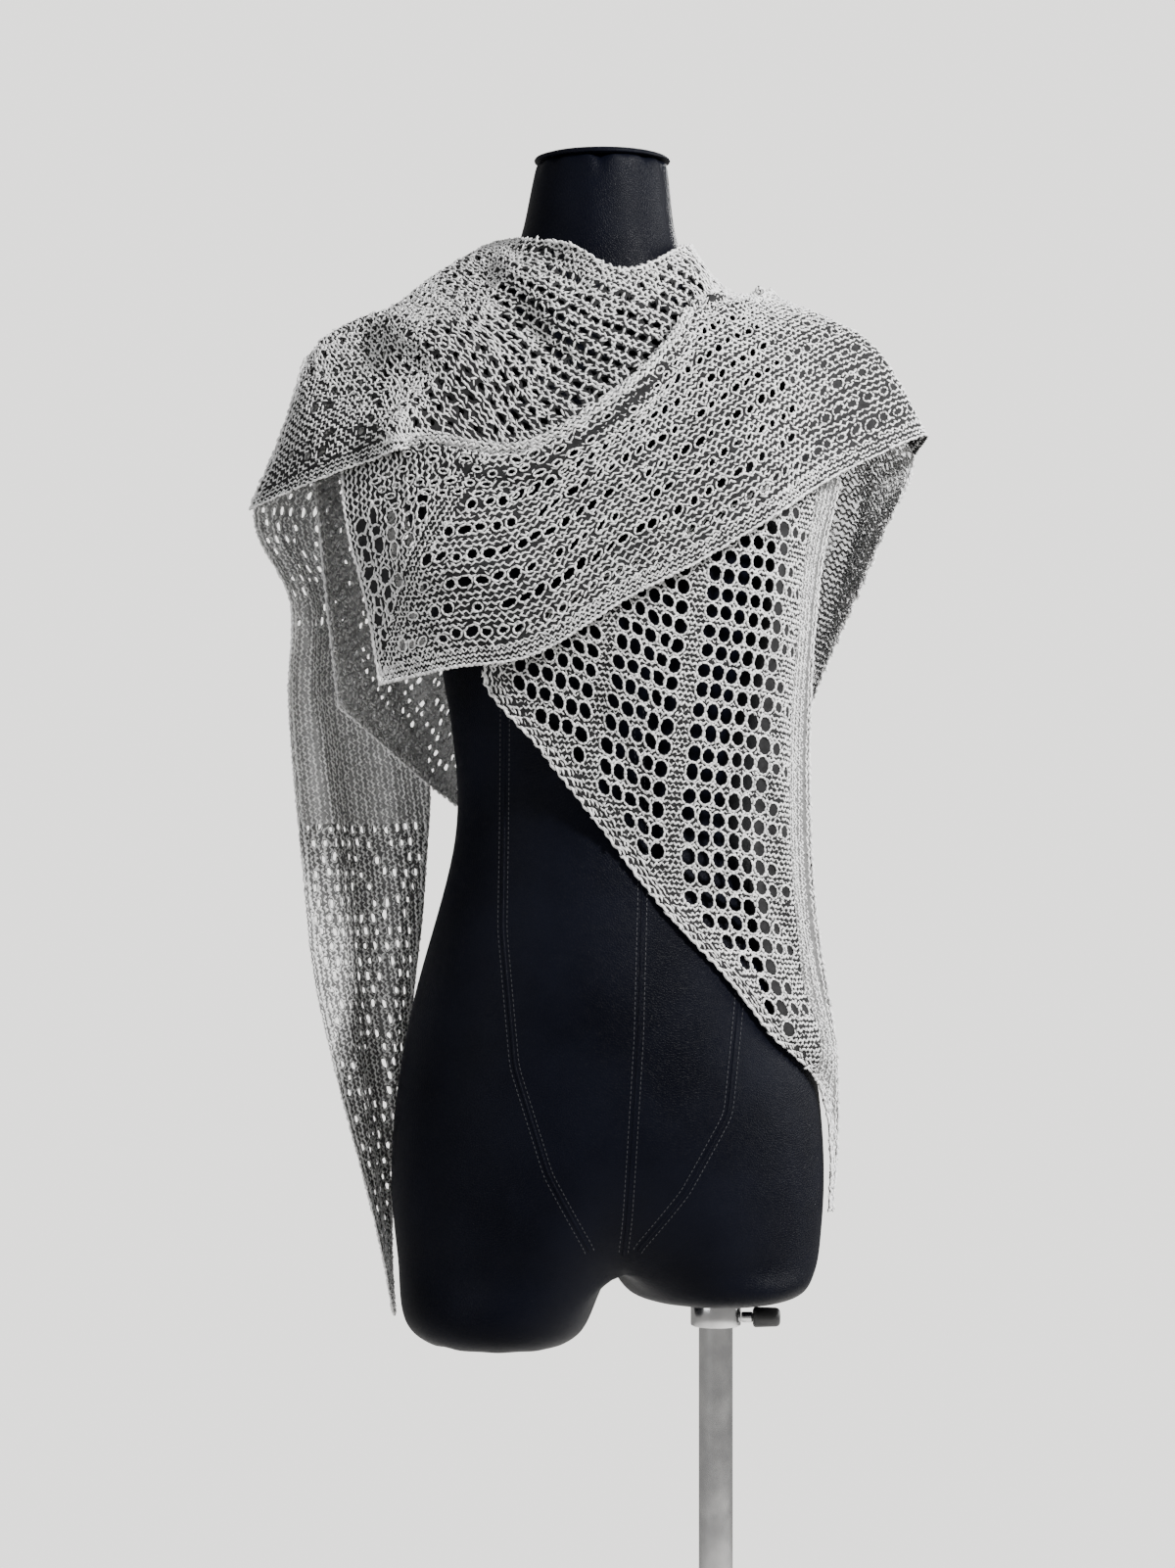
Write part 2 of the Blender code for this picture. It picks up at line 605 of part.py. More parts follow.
def lay_over(points, under, gap):
    """Moves points towards the viewer until they are gap in front of the sheet under them."""
    flat = under.reshape(-1, 3)
    off = np.hypot(
        points[..., None, 0] - flat[:, 0],
        points[..., None, 2] - flat[:, 2],
    )
    nearest = np.argsort(off, axis=-1)[..., :3]
    close = np.take_along_axis(off, nearest, axis=-1)[..., 0] < LAY_REACH
    front = flat[nearest, 1].min(axis=-1) - gap
    moved = points.copy()
    down = np.where(close & (points[..., 1] > front), front - points[..., 1], 0.0)
    moved[..., 1] += down
    return moved


def hang_from(back, across):
    """The rear tail's top: a line laid on the back stretch, just behind the shoulder."""
    at = across * TAIL_TOP_ROWS
    low = np.minimum(at.astype(int), TAIL_TOP_ROWS - 1)
    share = (at - low)[:, None]
    outward = normals_of(back)[: TAIL_TOP_ROWS + 1, TAIL_TOP_COLUMN]
    line = back[: TAIL_TOP_ROWS + 1, TAIL_TOP_COLUMN]
    lift = line + outward * np.sign(outward[-1, 1]) * (CLOTH_WALL + TAIL_GAP)
    return lift[low] * (1 - share) + lift[low + 1] * share


def front_tail_grid():
    """The big-eyelet panel: columns of eyelets at true distances from the straight edge."""
    fine = loft(FRONT_TAIL, np.linspace(0, 1, FINE_ROWS), [0.0])
    down = lengths_along(fine[:, 0])
    rows_at = spaced(down[-1], EYELET_ROW, EYELET_TALL)
    along = np.interp(rows_at, down, np.linspace(0, 1, FINE_ROWS))
    across = np.linspace(0, 1, FINE_COLUMNS)
    lines = keep_off_form(
        crease(loft(FRONT_TAIL, along, across), along, across, FRONT_TAIL_FOLDS),
        CLOTH_OFF_FORM + CLOTH_WALL / 2,
    )
    widths = [lengths_along(line) for line in lines]
    widest = max(w[-1] for w in widths)
    eyelets_at = RIB_BAND + spaced(widest - RIB_BAND, EYELET_COLUMN, EYELET_WIDE)
    columns_at = np.concatenate(([0.0, RIB_BAND / 2], eyelets_at))
    line_normals = normals_of(lines)
    grid = np.zeros((len(along), len(columns_at), 3))
    normals = np.zeros_like(grid)
    inner_limit = np.zeros(len(along))
    for i, (line, width) in enumerate(zip(lines, widths)):
        band = min(EDGE_BAND, width[-1] * 0.3)
        inner_limit[i] = width[-1] - band
        at = np.minimum(columns_at, inner_limit[i])
        at[-1] = width[-1]
        for axis in range(3):
            grid[i, :, axis] = np.interp(at, width, line[:, axis])
            normals[i, :, axis] = np.interp(at, width, line_normals[i, :, axis])
    rows, columns = len(along) - 1, len(columns_at) - 1
    present = np.ones((rows, columns), bool)
    for i in range(0, rows - 1, 2):
        for j in range(2, columns - 1, 2):
            clear = min(inner_limit[i], inner_limit[i + 1]) - columns_at[j + 1]
            if clear > EYELET_EDGE and is_eyelet(i // 2, (j - 2) // 2):
                present[i, j] = False
    return grid, normals, present


def is_eyelet(row, column):
    """Whether the front tail has an eyelet there. Columns count from the ribbed edge, and
    the first rows lie hidden under the front stretch."""
    if column in SOLID_COLUMNS or row < HIDDEN_ROWS:
        return False
    if column < 2:
        return (row + column) % 3 != 0
    return True


def front_stretch_grid(neck, tail):
    sections = [with_roll(row) for row in FRONT_STRETCH]
    fine = loft(sections, np.linspace(0, 1, FINE_ROWS), [LACE_TOP])
    run = lengths_along(fine[:, 0])
    fine_part = LACE_EDGE + spaced(LACE_COLUMNS * LACE_COLUMN, LACE_COLUMN, LACE_WIDE)
    rest = np.linspace(fine_part[-1], run[-1], PLAIN_CELLS + 1)[1:]
    places = np.concatenate(([0.0], fine_part, rest))
    along = np.interp(places, run, np.linspace(0, 1, FINE_ROWS))
    bars = LACE_TOP + LACE_ROW * np.arange(LACE_ROWS)
    lower = np.sort(np.concatenate((bars, bars + LACE_TALL, (LACE_FOOT, 1.0))))
    across = np.concatenate((ROLL_PLACES, lower))
    grid = sheet_grid(sections, along, across, FRONT_FOLDS, FRONT_OFF_FORM)
    under_roll = neck[int(len(neck) * NECK_UNDER_FROM) :]
    grid = lay_over(grid, np.concatenate((under_roll.reshape(-1, 3), tail.reshape(-1, 3))), LAY_GAP)
    present = np.ones((len(along) - 1, len(across) - 1), bool)
    for column in range(LACE_COLUMNS):
        for row in range(LACE_ROWS):
            present[1 + 2 * column, len(ROLL_PLACES) + 2 * row] = False
    return grid, present


def even_places(cells):
    return [np.linspace(0, 1, count + 1) for count in cells]


def build_scarf(knit):
    tail, tail_normals, tail_present = front_tail_grid()
    along, across = even_places(NECK_CELLS)
    neck = sheet_grid(NECK_STRETCH, along, across, NECK_FOLDS, NECK_OFF_FORM)
    front, front_present = front_stretch_grid(neck, tail)
    flap = int(len(neck) * FLAP_TO)
    neck[:flap] = lay_over(neck[:flap], front, LAY_GAP)

    along, across = even_places(BACK_CELLS)
    back = sheet_grid(BACK_STRETCH, along, across, BACK_FOLDS, CLOTH_OFF_FORM)
    shoulder = neck[: int(len(neck) * NECK_FREE_FROM), 0]
    back = join_to(back, np.concatenate((shoulder, front[-1])), SEAM_REACH)
    back = keep_off_form(back, CLOTH_OFF_FORM + CLOTH_WALL / 2)

    along, across = even_places(REAR_CELLS)
    top = hang_from(back, across)
    sections = [(top[0], top[len(top) // 2], top[-1])] + REAR_TAIL[1:]
    rear = sheet_grid(sections, along, across, REAR_FOLDS, CLOTH_OFF_FORM)
    rear[0] = top

    cloth_wall("front_stretch", front, normals_of(front), front_present, knit)
    cloth_wall("front_tail", tail, tail_normals, tail_present, knit)
    for name, grid in (("neck_stretch", neck), ("back_stretch", back), ("rear_tail", rear)):
        whole = np.ones((grid.shape[0] - 1, grid.shape[1] - 1), bool)
        cloth_wall(name, grid, normals_of(grid), whole, knit)


def main():
    leather = material("black leather", (0.012, 0.013, 0.018), 0.42)
    chrome = material("chrome", (0.78, 0.78, 0.79), 0.16, 1.0)
    black = material("black plastic", (0.02, 0.02, 0.02), 0.45)
    knit = material("grey knit", (0.50, 0.50, 0.49), 0.9)
    build_form(leather)
    build_neck_cap(leather)
    build_stand(chrome, black)
    build_scarf(knit)


main()
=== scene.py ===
"""A lace-knit triangle scarf wound round a limbless dress form on a pole stand.

Lengths are in millimetres until a mesh is made. The origin is the middle of the stand's
base, +Z is up, the front looks along -Y and +X is the viewer's right.
"""

import math
from collections import namedtuple

import bmesh
import bpy
import numpy as np
from mathutils import Matrix, Vector
from mathutils.bvhtree import BVHTree


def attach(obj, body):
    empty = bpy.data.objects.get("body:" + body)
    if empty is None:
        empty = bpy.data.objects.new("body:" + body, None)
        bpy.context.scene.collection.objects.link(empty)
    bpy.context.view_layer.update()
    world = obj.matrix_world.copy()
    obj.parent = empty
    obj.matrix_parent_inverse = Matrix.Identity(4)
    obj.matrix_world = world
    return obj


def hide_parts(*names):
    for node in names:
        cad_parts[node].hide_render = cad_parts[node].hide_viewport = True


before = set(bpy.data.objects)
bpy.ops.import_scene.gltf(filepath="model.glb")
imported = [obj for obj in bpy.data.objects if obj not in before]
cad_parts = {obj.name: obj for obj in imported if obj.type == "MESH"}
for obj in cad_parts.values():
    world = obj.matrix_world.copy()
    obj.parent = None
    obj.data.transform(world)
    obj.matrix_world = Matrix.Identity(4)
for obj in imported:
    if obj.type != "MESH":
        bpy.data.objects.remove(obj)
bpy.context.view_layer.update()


# Where the onlooker stands: level with the waist, 2.6 m in front of the form, so that the
# whole scarf and the form down to the top of its pole fill an upright picture.
SENSOR = 36.0
LENS_TO_PICTURE = 3611 / 1601

view = bpy.data.cameras.new("view")
view.sensor_width = SENSOR
view.lens = SENSOR * LENS_TO_PICTURE
camera = bpy.data.objects.new("view", view)
camera.location = (-0.0943, -2.6, 1.0556)
camera.rotation_euler = (math.pi / 2, 0, 0)
bpy.context.scene.collection.objects.link(camera)
bpy.context.scene.camera = camera


class Wire:
    """A socket of a finish. Python's operators on it add Math nodes."""

    def __init__(self, recipe, socket):
        self.recipe = recipe
        self.socket = socket

    def maths(self, operation, *values):
        sockets = {f"_{k}": value for k, value in enumerate(values)}
        return self.recipe.add("ShaderNodeMath", {"operation": operation}, **sockets)

    def __add__(self, other):
        return self.maths("ADD", self, other)

    def __sub__(self, other):
        return self.maths("SUBTRACT", self, other)

    def __mul__(self, other):
        return self.maths("MULTIPLY", self, other)


class Recipe:
    """A finish that is being put together. A socket's name may be its number after a _."""

    def __init__(self, name, **constants):
        self.finish = bpy.data.materials.new(name)
        self.finish.use_nodes = True
        self.nodes = self.finish.node_tree.nodes
        self.shader = self.nodes["Principled BSDF"]
        self.set(self.shader, constants)

    def set(self, node, values):
        for name, value in values.items():
            number = name[1:] if name.startswith("_") else ""
            socket = node.inputs[int(number) if number else name.replace("_", " ")]
            if isinstance(value, Wire):
                self.finish.node_tree.links.new(value.socket, socket)
            else:
                socket.default_value = value

    def add(self, kind, settings=None, output=0, **sockets):
        node = self.nodes.new(kind)
        for name, value in (settings or {}).items():
            if name == "stops":
                ramp = node.color_ramp.elements
                for k, (place, grey) in enumerate(value):
                    stop = ramp[k] if k < 2 else ramp.new(place)
                    stop.position = place
                    stop.color = (*grey, 1)
            else:
                setattr(node, name, value)
        self.set(node, sockets)
        return Wire(self, node.outputs[output])

    def place(self):
        return self.add("ShaderNodeTexCoord", output=3)

    def noise(self, scale, detail=3.0, roughness=0.5, where=None):
        return self.add(
            "ShaderNodeTexNoise",
            Vector=where or self.place(),
            Scale=scale,
            Detail=detail,
            Roughness=roughness,
        )

    def tones(self, driver, *stops):
        return self.add("ShaderNodeValToRGB", {"stops": stops}, Fac=driver)

    def bump(self, height, strength, distance):
        return self.add("ShaderNodeBump", Strength=strength, Distance=distance, Height=height)

    def shows(self, **values):
        self.set(self.shader, values)


# The floor is a plain pale studio floor, and the air round it has the same soft tone. A
# small strong lamp stands high at the front right, a large one at the right in place of a
# window, a weak one at the left and one behind.
FLOOR_RADIUS = 2.1
FLOOR_CORNERS = 96
WALL_TONE = (0.745, 0.735, 0.715, 1)
WALL_GLOW = 2.7
AIR_LIGHT = 0.45

floor_mesh = bmesh.new()
bmesh.ops.create_circle(floor_mesh, cap_ends=True, segments=FLOOR_CORNERS, radius=FLOOR_RADIUS)
data = bpy.data.meshes.new("floor")
floor_mesh.to_mesh(data)
floor_mesh.free()
floor = bpy.data.objects.new("floor", data)
bpy.context.scene.collection.objects.link(floor)
floor_recipe = Recipe("pale floor", Roughness=0.75)
mottle = floor_recipe.noise(3.0)
floor_recipe.shows(
    Base_Color=floor_recipe.tones(mottle, (0.3, (0.66, 0.65, 0.63)), (0.7, (0.72, 0.71, 0.69)))
)
data.materials.append(floor_recipe.finish)

world = bpy.data.worlds.new("studio air")
bpy.context.scene.world = world
world.use_nodes = True
air = world.node_tree.nodes["Background"]
air.inputs["Color"].default_value = WALL_TONE
glow = world.node_tree.nodes.new("ShaderNodeBackground")
glow.inputs["Color"].default_value = WALL_TONE
glow.inputs["Strength"].default_value = WALL_GLOW
air.inputs["Strength"].default_value = AIR_LIGHT
seen = world.node_tree.nodes.new("ShaderNodeLightPath")
either = world.node_tree.nodes.new("ShaderNodeMixShader")
world_links = world.node_tree.links
world_links.new(seen.outputs["Is Camera Ray"], either.inputs[0])
world_links.new(air.outputs[0], either.inputs[1])
world_links.new(glow.outputs[0], either.inputs[2])
world_links.new(either.outputs[0], world.node_tree.nodes["World Output"].inputs["Surface"])

Lamp = namedtuple("Lamp", "name place aim size watts tint")
LAMPS = [
    Lamp("key", (1.8, -1.6, 2.8), (-0.1, 0, 1.15), 0.40, 212, (1.0, 0.99, 0.98)),
    Lamp("window", (2.4, 0.6, 1.7), (-0.1, 0, 1.15), 1.2, 80, (1.0, 1.0, 1.0)),
    Lamp("fill", (-2.0, -1.9, 1.6), (-0.1, 0, 1.1), 1.6, 30, (0.98, 0.985, 1.0)),
    Lamp("back", (0.6, 2.4, 2.4), (-0.1, 0, 1.2), 0.8, 55, (1.0, 1.0, 1.0)),
]
for lamp in LAMPS:
    light = bpy.data.lights.new(lamp.name, "AREA")
    light.size = lamp.size
    light.energy = lamp.watts
    light.color = lamp.tint
    holder = bpy.data.objects.new(lamp.name, light)
    holder.location = lamp.place
    aim = np.array(lamp.aim) - np.array(lamp.place)
    flat = math.hypot(aim[0], aim[1])
    holder.rotation_euler = (math.atan2(flat, -aim[2]), 0, math.atan2(-aim[0], aim[1]))
    bpy.context.scene.collection.objects.link(holder)


# The stand: a turned round plate with a boss, a tube that slides in the boss, and the
# clamp's collar under the form, all chromed steel, with a screw and a black plastic grip.
MM = 0.001
ROUND_STEPS = 80

chrome = Recipe("chrome", Metallic=1.0)
wipe = chrome.noise(60.0, 4.0)
chrome.shows(
    Base_Color=chrome.tones(wipe, (0.35, (0.62, 0.62, 0.63)), (0.7, (0.74, 0.74, 0.74))),
    Roughness=wipe * 0.12 + 0.12,
)
black_plastic = Recipe("black plastic", Base_Color=(0.018, 0.018, 0.019, 1))
black_plastic.shows(
    Roughness=black_plastic.noise(240.0) * 0.2 + 0.35,
    Normal=black_plastic.bump(black_plastic.noise(900.0), 0.3, 0.0003),
)


def finish_piece(name, piece_mesh, finish, node, smooth_angle=40.0):
    """Makes an object of a bmesh, rides it on the part and lets it stand for its node."""
    made_data = bpy.data.meshes.new(name)
    piece_mesh.to_mesh(made_data)
    piece_mesh.free()
    made_data.materials.append(finish)
    made_data.shade_smooth()
    made_data.set_sharp_from_angle(angle=math.radians(smooth_angle))
    made = bpy.data.objects.new(name, made_data)
    bpy.context.scene.collection.objects.link(made)
    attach(made, "root")
    if node:
        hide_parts(node)
    return made


def turned(name, profile, finish, node, centre=(0.0, 0.0), along_x=None, steps=ROUND_STEPS):
    """Spins a profile of radius and height, with its corners rounded, round an upright axis."""
    lathe = bmesh.new()
    rim = [lathe.verts.new((r * MM, 0, z * MM)) for r, z in profile]
    ring = profile[0][0] > 0
    edges = [lathe.edges.new(pair) for pair in zip(rim, rim[1:])]
    if ring:
        edges.append(lathe.edges.new((rim[-1], rim[0])))
    bmesh.ops.spin(
        lathe, geom=rim + edges, cent=(0, 0, 0), axis=(0, 0, 1), angle=2 * math.pi,
        steps=steps, use_merge=True, use_duplicate=False,
    )
    bmesh.ops.remove_doubles(lathe, verts=lathe.verts[:], dist=1e-6)
    bmesh.ops.recalc_face_normals(lathe, faces=lathe.faces[:])
    for vertex in lathe.verts:
        x, y, z = vertex.co
        if along_x:
            vertex.co = (z + along_x[0] * MM, y, along_x[1] * MM - x)
        else:
            vertex.co = (x + centre[0] * MM, y + centre[1] * MM, z)
    return finish_piece(name, lathe, finish, node)


POLE_RADIUS = 12.5
POLE_FOOT = 9.3
POLE_ROUNDING = 0.5
SOCKET = 12.8
POLE_TOP = 675.7
COLLAR_LOW = 657.7
COLLAR_RADIUS = 18.5
turned(
    "round_base",
    [
        (0, 0), (168, 0), (172.5, 0.8), (174.4, 2.4), (175, 4), (174.5, 6.2), (172, 8.4), (168, 9.4),
        (60, 13), (30, 14.6), (25, 15.6), (22.8, 17.2), (22, 19.5), (22, 41.6), (21.4, 43.4), (19.8, 44),
        (SOCKET + 0.8, 44), (SOCKET, 43.4), (SOCKET, 9), (0, 9),
    ],
    chrome.finish, "stand_base",
)
turned(
    "pole",
    [
        (0, POLE_FOOT), (POLE_RADIUS, POLE_FOOT), (POLE_RADIUS, POLE_TOP - POLE_ROUNDING),
        (POLE_RADIUS - POLE_ROUNDING, POLE_TOP), (0, POLE_TOP),
    ],
    chrome.finish, "stand_pole", steps=48,
)
turned(
    "collar",
    [
        (SOCKET, COLLAR_LOW), (17.2, COLLAR_LOW), (18.2, COLLAR_LOW + 0.5),
        (COLLAR_RADIUS, COLLAR_LOW + 1.4), (COLLAR_RADIUS, POLE_TOP - 1.4),
        (18.2, POLE_TOP - 0.5), (17.2, POLE_TOP), (SOCKET, POLE_TOP),
    ],
    chrome.finish, "clamp_collar", steps=48,
)
SCREW_HEIGHT = COLLAR_LOW + 6
turned(
    "screw",
    [(0, 0), (3.2, 0), (4, 0.8), (4, 7.4), (3.4, 8.2), (0, 8.2)],
    chrome.finish, "clamp_screw", along_x=(18.8, SCREW_HEIGHT), steps=24,
)
turned(
    "grip",
    [
        (0, 0), (5.4, 0), (6.6, 0.4), (7.3, 1.2), (7.5, 2.4), (7.0, 17), (6.4, 18.8), (5.2, 19.7),
        (4.2, 20), (0, 20),
    ],
    black_plastic.finish, "clamp_knob", along_x=(27.3, SCREW_HEIGHT), steps=32,
)


# The dress form: a padded torso with a short stump for each thigh, covered in smooth black
# leather that is sewn in long panels. The seams stand up a little, with a row of stitches
# on either side. A leather-covered disc closes the neck.
FORM_AXIS_X = -80.0
FORM_YAW = math.radians(10.0)
FormSection = namedtuple("FormSection", "height half_width half_depth back side")
FORM = [
    FormSection(704, 157, 100, 4, 3),
    FormSection(722, 159, 106, 6, 3),
    FormSection(750, 162, 110, 8, 3),
    FormSection(790, 162, 112, 9, 3),
    FormSection(840, 157, 110, 8, 3),
    FormSection(897, 146, 104, 5, 2),
    FormSection(948, 130, 94, 2, 1),
    FormSection(998, 115, 84, 0, 0),
    FormSection(1034, 110, 80, 0, 0),
    FormSection(1075, 112, 86, -1, 0),
    FormSection(1127, 120, 98, -3, 0),
    FormSection(1170, 130, 110, -5, 0),
    FormSection(1210, 139, 114, -5, 0),
    FormSection(1250, 147, 112, -2, 0),
    FormSection(1290, 160, 104, 2, 0),
    FormSection(1325, 173, 94, 5, 0),
    FormSection(1350, 176, 84, 7, 0),
    FormSection(1372, 164, 76, 8, 0),
    FormSection(1392, 136, 69, 8, -1),
    FormSection(1410, 102, 63, 8, -2),
    FormSection(1428, 75, 58, 6, -4),
    FormSection(1450, 58, 55, 4, -6),
    FormSection(1480, 53, 52, 3, -5),
    FormSection(1512, 49, 49, 3, -3),
]

leather = Recipe("black leather", Specular_IOR_Level=0.05)
creases = leather.noise(14.0, 4.0, 0.55)
cells = leather.add(
    "ShaderNodeTexVoronoi", {"feature": "DISTANCE_TO_EDGE"}, Scale=620.0, Vector=leather.place()
)
grain = leather.noise(1500.0, 2.0)
cells_high = cells.maths("MINIMUM", cells * 6.0, 1.0)
leather.shows(
    Base_Color=leather.tones(
        creases, (0.3, (0.0010, 0.0013, 0.0034)), (0.72, (0.0028, 0.0034, 0.0072))
    ),
    Roughness=creases * 0.16 + 0.36 - cells_high * 0.05,
    Normal=leather.bump(
        cells_high * 0.5 + grain * 0.25 + leather.noise(34.0, 3.0) * 2.2, 0.55, 0.0004
    ),
)

shell_mesh = bmesh.new()
shell_mesh.from_mesh(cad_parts["torso"].data)
bmesh.ops.remove_doubles(shell_mesh, verts=shell_mesh.verts[:], dist=2e-5)
bmesh.ops.join_triangles(
    shell_mesh, faces=shell_mesh.faces[:], angle_face_threshold=0.6, angle_shape_threshold=1.2
)
torso_cover = finish_piece("torso_cover", shell_mesh, leather.finish, "torso", 70.0)
round_off = torso_cover.modifiers.new("padding", "SUBSURF")
round_off.levels = round_off.render_levels = 2

NECK_TOP = FORM[-1]
CAP_LOW = NECK_TOP.height + 0.3
turn_c, turn_s = math.cos(FORM_YAW), math.sin(FORM_YAW)
cap_centre = (
    FORM_AXIS_X + NECK_TOP.side * turn_c - NECK_TOP.back * turn_s,
    NECK_TOP.side * turn_s + NECK_TOP.back * turn_c,
)
turned(
    "neck_cover",
    [
        (0, CAP_LOW), (48.8, CAP_LOW), (49.7, CAP_LOW + 0.5), (50, CAP_LOW + 1.3), (49.8, CAP_LOW + 2.2),
        (49.1, CAP_LOW + 3), (48.2, CAP_LOW + 3.3), (47.6, CAP_LOW + 3.2), (47, CAP_LOW + 3.7),
        (44, CAP_LOW + 4.6), (36, CAP_LOW + 5.6), (24, CAP_LOW + 6.4), (10, CAP_LOW + 6.9), (0, CAP_LOW + 7),
    ],
    leather.finish, "neck_cap", centre=cap_centre,
)

bpy.context.view_layer.update()
skin = BVHTree.FromObject(torso_cover, bpy.context.evaluated_depsgraph_get())
SEAM_STEP = 3.5
SEAM_RIDGE = (1.1, 0.55)
SEAM_CORNERS = 6
SEAM_BEND = 7
THREAD_OFF = 3.3
THREAD_LIFT = 0.1
THREAD_HALF = (1.35, 0.32, 0.32)
# Each seam as it is seen from the front, at -1, or from the back, at 1: sideways and up.
SEAMS = [
    (-1, [(-58, 1110), (-55, 982), (-58, 876), (-66, 745), (-69, 718)]),
    (-1, [(-153, 1115), (-155, 952), (-146, 855), (-122, 779), (-91, 721)]),
    (-1, [(27, 1020), (6, 820), (-25, 765), (-60, 721)]),
    (1, [(-84, 1440), (-82, 1300), (-80, 1100), (-80, 900), (-92, 722)]),
    (1, [(-150, 1300), (-138, 1150), (-140, 1000), (-160, 860), (-150, 722)]),
    (1, [(-10, 1300), (-22, 1150), (-20, 1000), (0, 860), (-10, 722)]),
]


def smoothed(values, reach):
    """Values evened out over this many places on either side."""
    soft = np.hanning(2 * reach + 1)
    return np.convolve(np.pad(values, reach, mode="edge"), soft / soft.sum(), "valid")


def along_skin(side, places, off=0.0):
    """Points and outward directions at even steps along a line that lies on the form."""
    knots = np.array(places, float)
    run = np.concatenate(([0.0], np.cumsum(np.linalg.norm(np.diff(knots, axis=0), axis=1))))
    steps = np.arange(0, run[-1], SEAM_STEP / 2)
    x, z = (np.interp(steps, run, knots[:, k]) for k in (0, 1))
    x = smoothed(x, SEAM_BEND)
    lean_x, lean_z = np.gradient(x), np.gradient(z)
    size = np.hypot(lean_x, lean_z)
    x, z = x + lean_z / size * off, z - lean_x / size * off
    points, turns = [], []
    for sideways, up in zip(x, z):
        hit, turn, _, _ = skin.ray_cast((sideways * MM, side, up * MM), (0, -side, 0))
        if hit:
            points.append(hit / MM)
            turns.append(turn)
    return np.array(points), np.array(turns)


ridge = bmesh.new()
threads = bmesh.new()
for side, places in SEAMS:
    points, turns = along_skin(side, places)
    along = np.gradient(points, axis=0)
    along /= np.linalg.norm(along, axis=1, keepdims=True)
    beside = np.cross(turns, along)
    rings = []
    for point, turn, out in zip(points[::2], turns[::2], beside[::2]):
        corners = [
            point + out * SEAM_RIDGE[0] * math.cos(t) + turn * SEAM_RIDGE[1] * math.sin(t)
            for t in np.arange(SEAM_CORNERS) * 2 * math.pi / SEAM_CORNERS
        ]
        rings.append([ridge.verts.new(corner * MM) for corner in corners])
    for low, high in zip(rings, rings[1:]):
        for k in range(SEAM_CORNERS):
            n = (k + 1) % SEAM_CORNERS
            ridge.faces.new((low[k], low[n], high[n], high[k]))
    ridge.faces.new(rings[0][::-1])
    ridge.faces.new(rings[-1])
    for off in (-THREAD_OFF, THREAD_OFF):
        points, turns = along_skin(side, places, off)
        for point, nearby, turn in zip(points[::2], points[1::2], turns[::2]):
            ahead = Vector(nearby - point).normalized()
            laid = Matrix((ahead, Vector(turn).cross(ahead), Vector(turn))).transposed().to_4x4()
            laid.translation = Vector(point + turn * THREAD_LIFT) * MM
            size = Matrix.Diagonal((*(half * MM for half in THREAD_HALF), 1))
            bmesh.ops.create_icosphere(threads, subdivisions=1, radius=1, matrix=laid @ size)
bmesh.ops.recalc_face_normals(ridge, faces=ridge.faces[:])
finish_piece("form_seams", ridge, leather.finish, None)
thread = Recipe("waxed thread", Base_Color=(0.02, 0.021, 0.026, 1))
thread.shows(Roughness=thread.noise(900.0) * 0.3 + 0.4)
finish_piece("form_topstitching", threads, thread.finish, None)


# The scarf is one triangle of lace, knitted by hand in a light grey cotton and linen yarn.
# Each stretch of it that shows is one knitted sheet, with no lining, that hangs by its
# weight. These are the shapes that the stretches take as worn.
SEAM_ROOM = 1.6
SEAM_REACH = 16.0
SEAM_EASE = (1.0, 0.6, 0.25)
TAIL_TOP_ROWS = 3
TAIL_TOP_COLUMN = 1
TAIL_GAP = 0.9
LAY_REACH = 12.0
LAY_GAP = 5.6
CLOTH_WALL = 2.4
CLOTH_OFF_FORM = 1.1
NECK_OFF_FORM = 4.0
NECK_WAVES_OFF_FORM = 2.0
FRONT_OFF_FORM = 5.0
FRONT_WAVES_OFF_FORM = 2.0
FORM_AXIS_Y = 0.0


def spline_weights(count, at):
    """Weights of count even knots for a smooth curve read at places from 0 to 1."""
    at = np.clip(np.asarray(at, float), 0.0, 1.0) * (count - 1)
    cell = np.minimum(at.astype(int), count - 2)
    t = at - cell
    basis = (
        -t / 2 + t**2 - t**3 / 2,
        1 - 2.5 * t**2 + 1.5 * t**3,
        t / 2 + 2 * t**2 - 1.5 * t**3,
        -(t**2) / 2 + t**3 / 2,
    )
    weights = np.zeros((len(at), count + 2))
    rows = np.arange(len(at))
    for step, value in enumerate(basis):
        np.add.at(weights, (rows, cell + step), value)
    # A curve runs straight on past its end knots.
    weights[:, 1] += 2 * weights[:, 0]
    weights[:, 2] -= weights[:, 0]
    weights[:, -2] += 2 * weights[:, -1]
    weights[:, -3] -= weights[:, -1]
    return weights[:, 1:-1]


def smooth_step(x):
    """Eases from 0 at 0 to 1 at 1."""
    x = np.clip(x, 0.0, 1.0)
    return x * x * (3 - 2 * x)


def form_size(height):
    """Half width, half depth, shifts back and to the side, and pinch of the form at heights."""
    rows = np.array(FORM, float)
    knots = np.interp(height, rows[:, 0], np.linspace(0, 1, len(rows)))
    return spline_weights(len(rows), np.atleast_1d(knots)) @ rows[:, 1:]


def turn_with_form(points):
    """Moves points from the form's own axes to the part's."""
    c, s = math.cos(FORM_YAW), math.sin(FORM_YAW)
    x = FORM_AXIS_X + points[..., 0] * c - points[..., 1] * s
    y = FORM_AXIS_Y + points[..., 0] * s + points[..., 1] * c
    return np.stack((x, y, points[..., 2]), axis=-1)


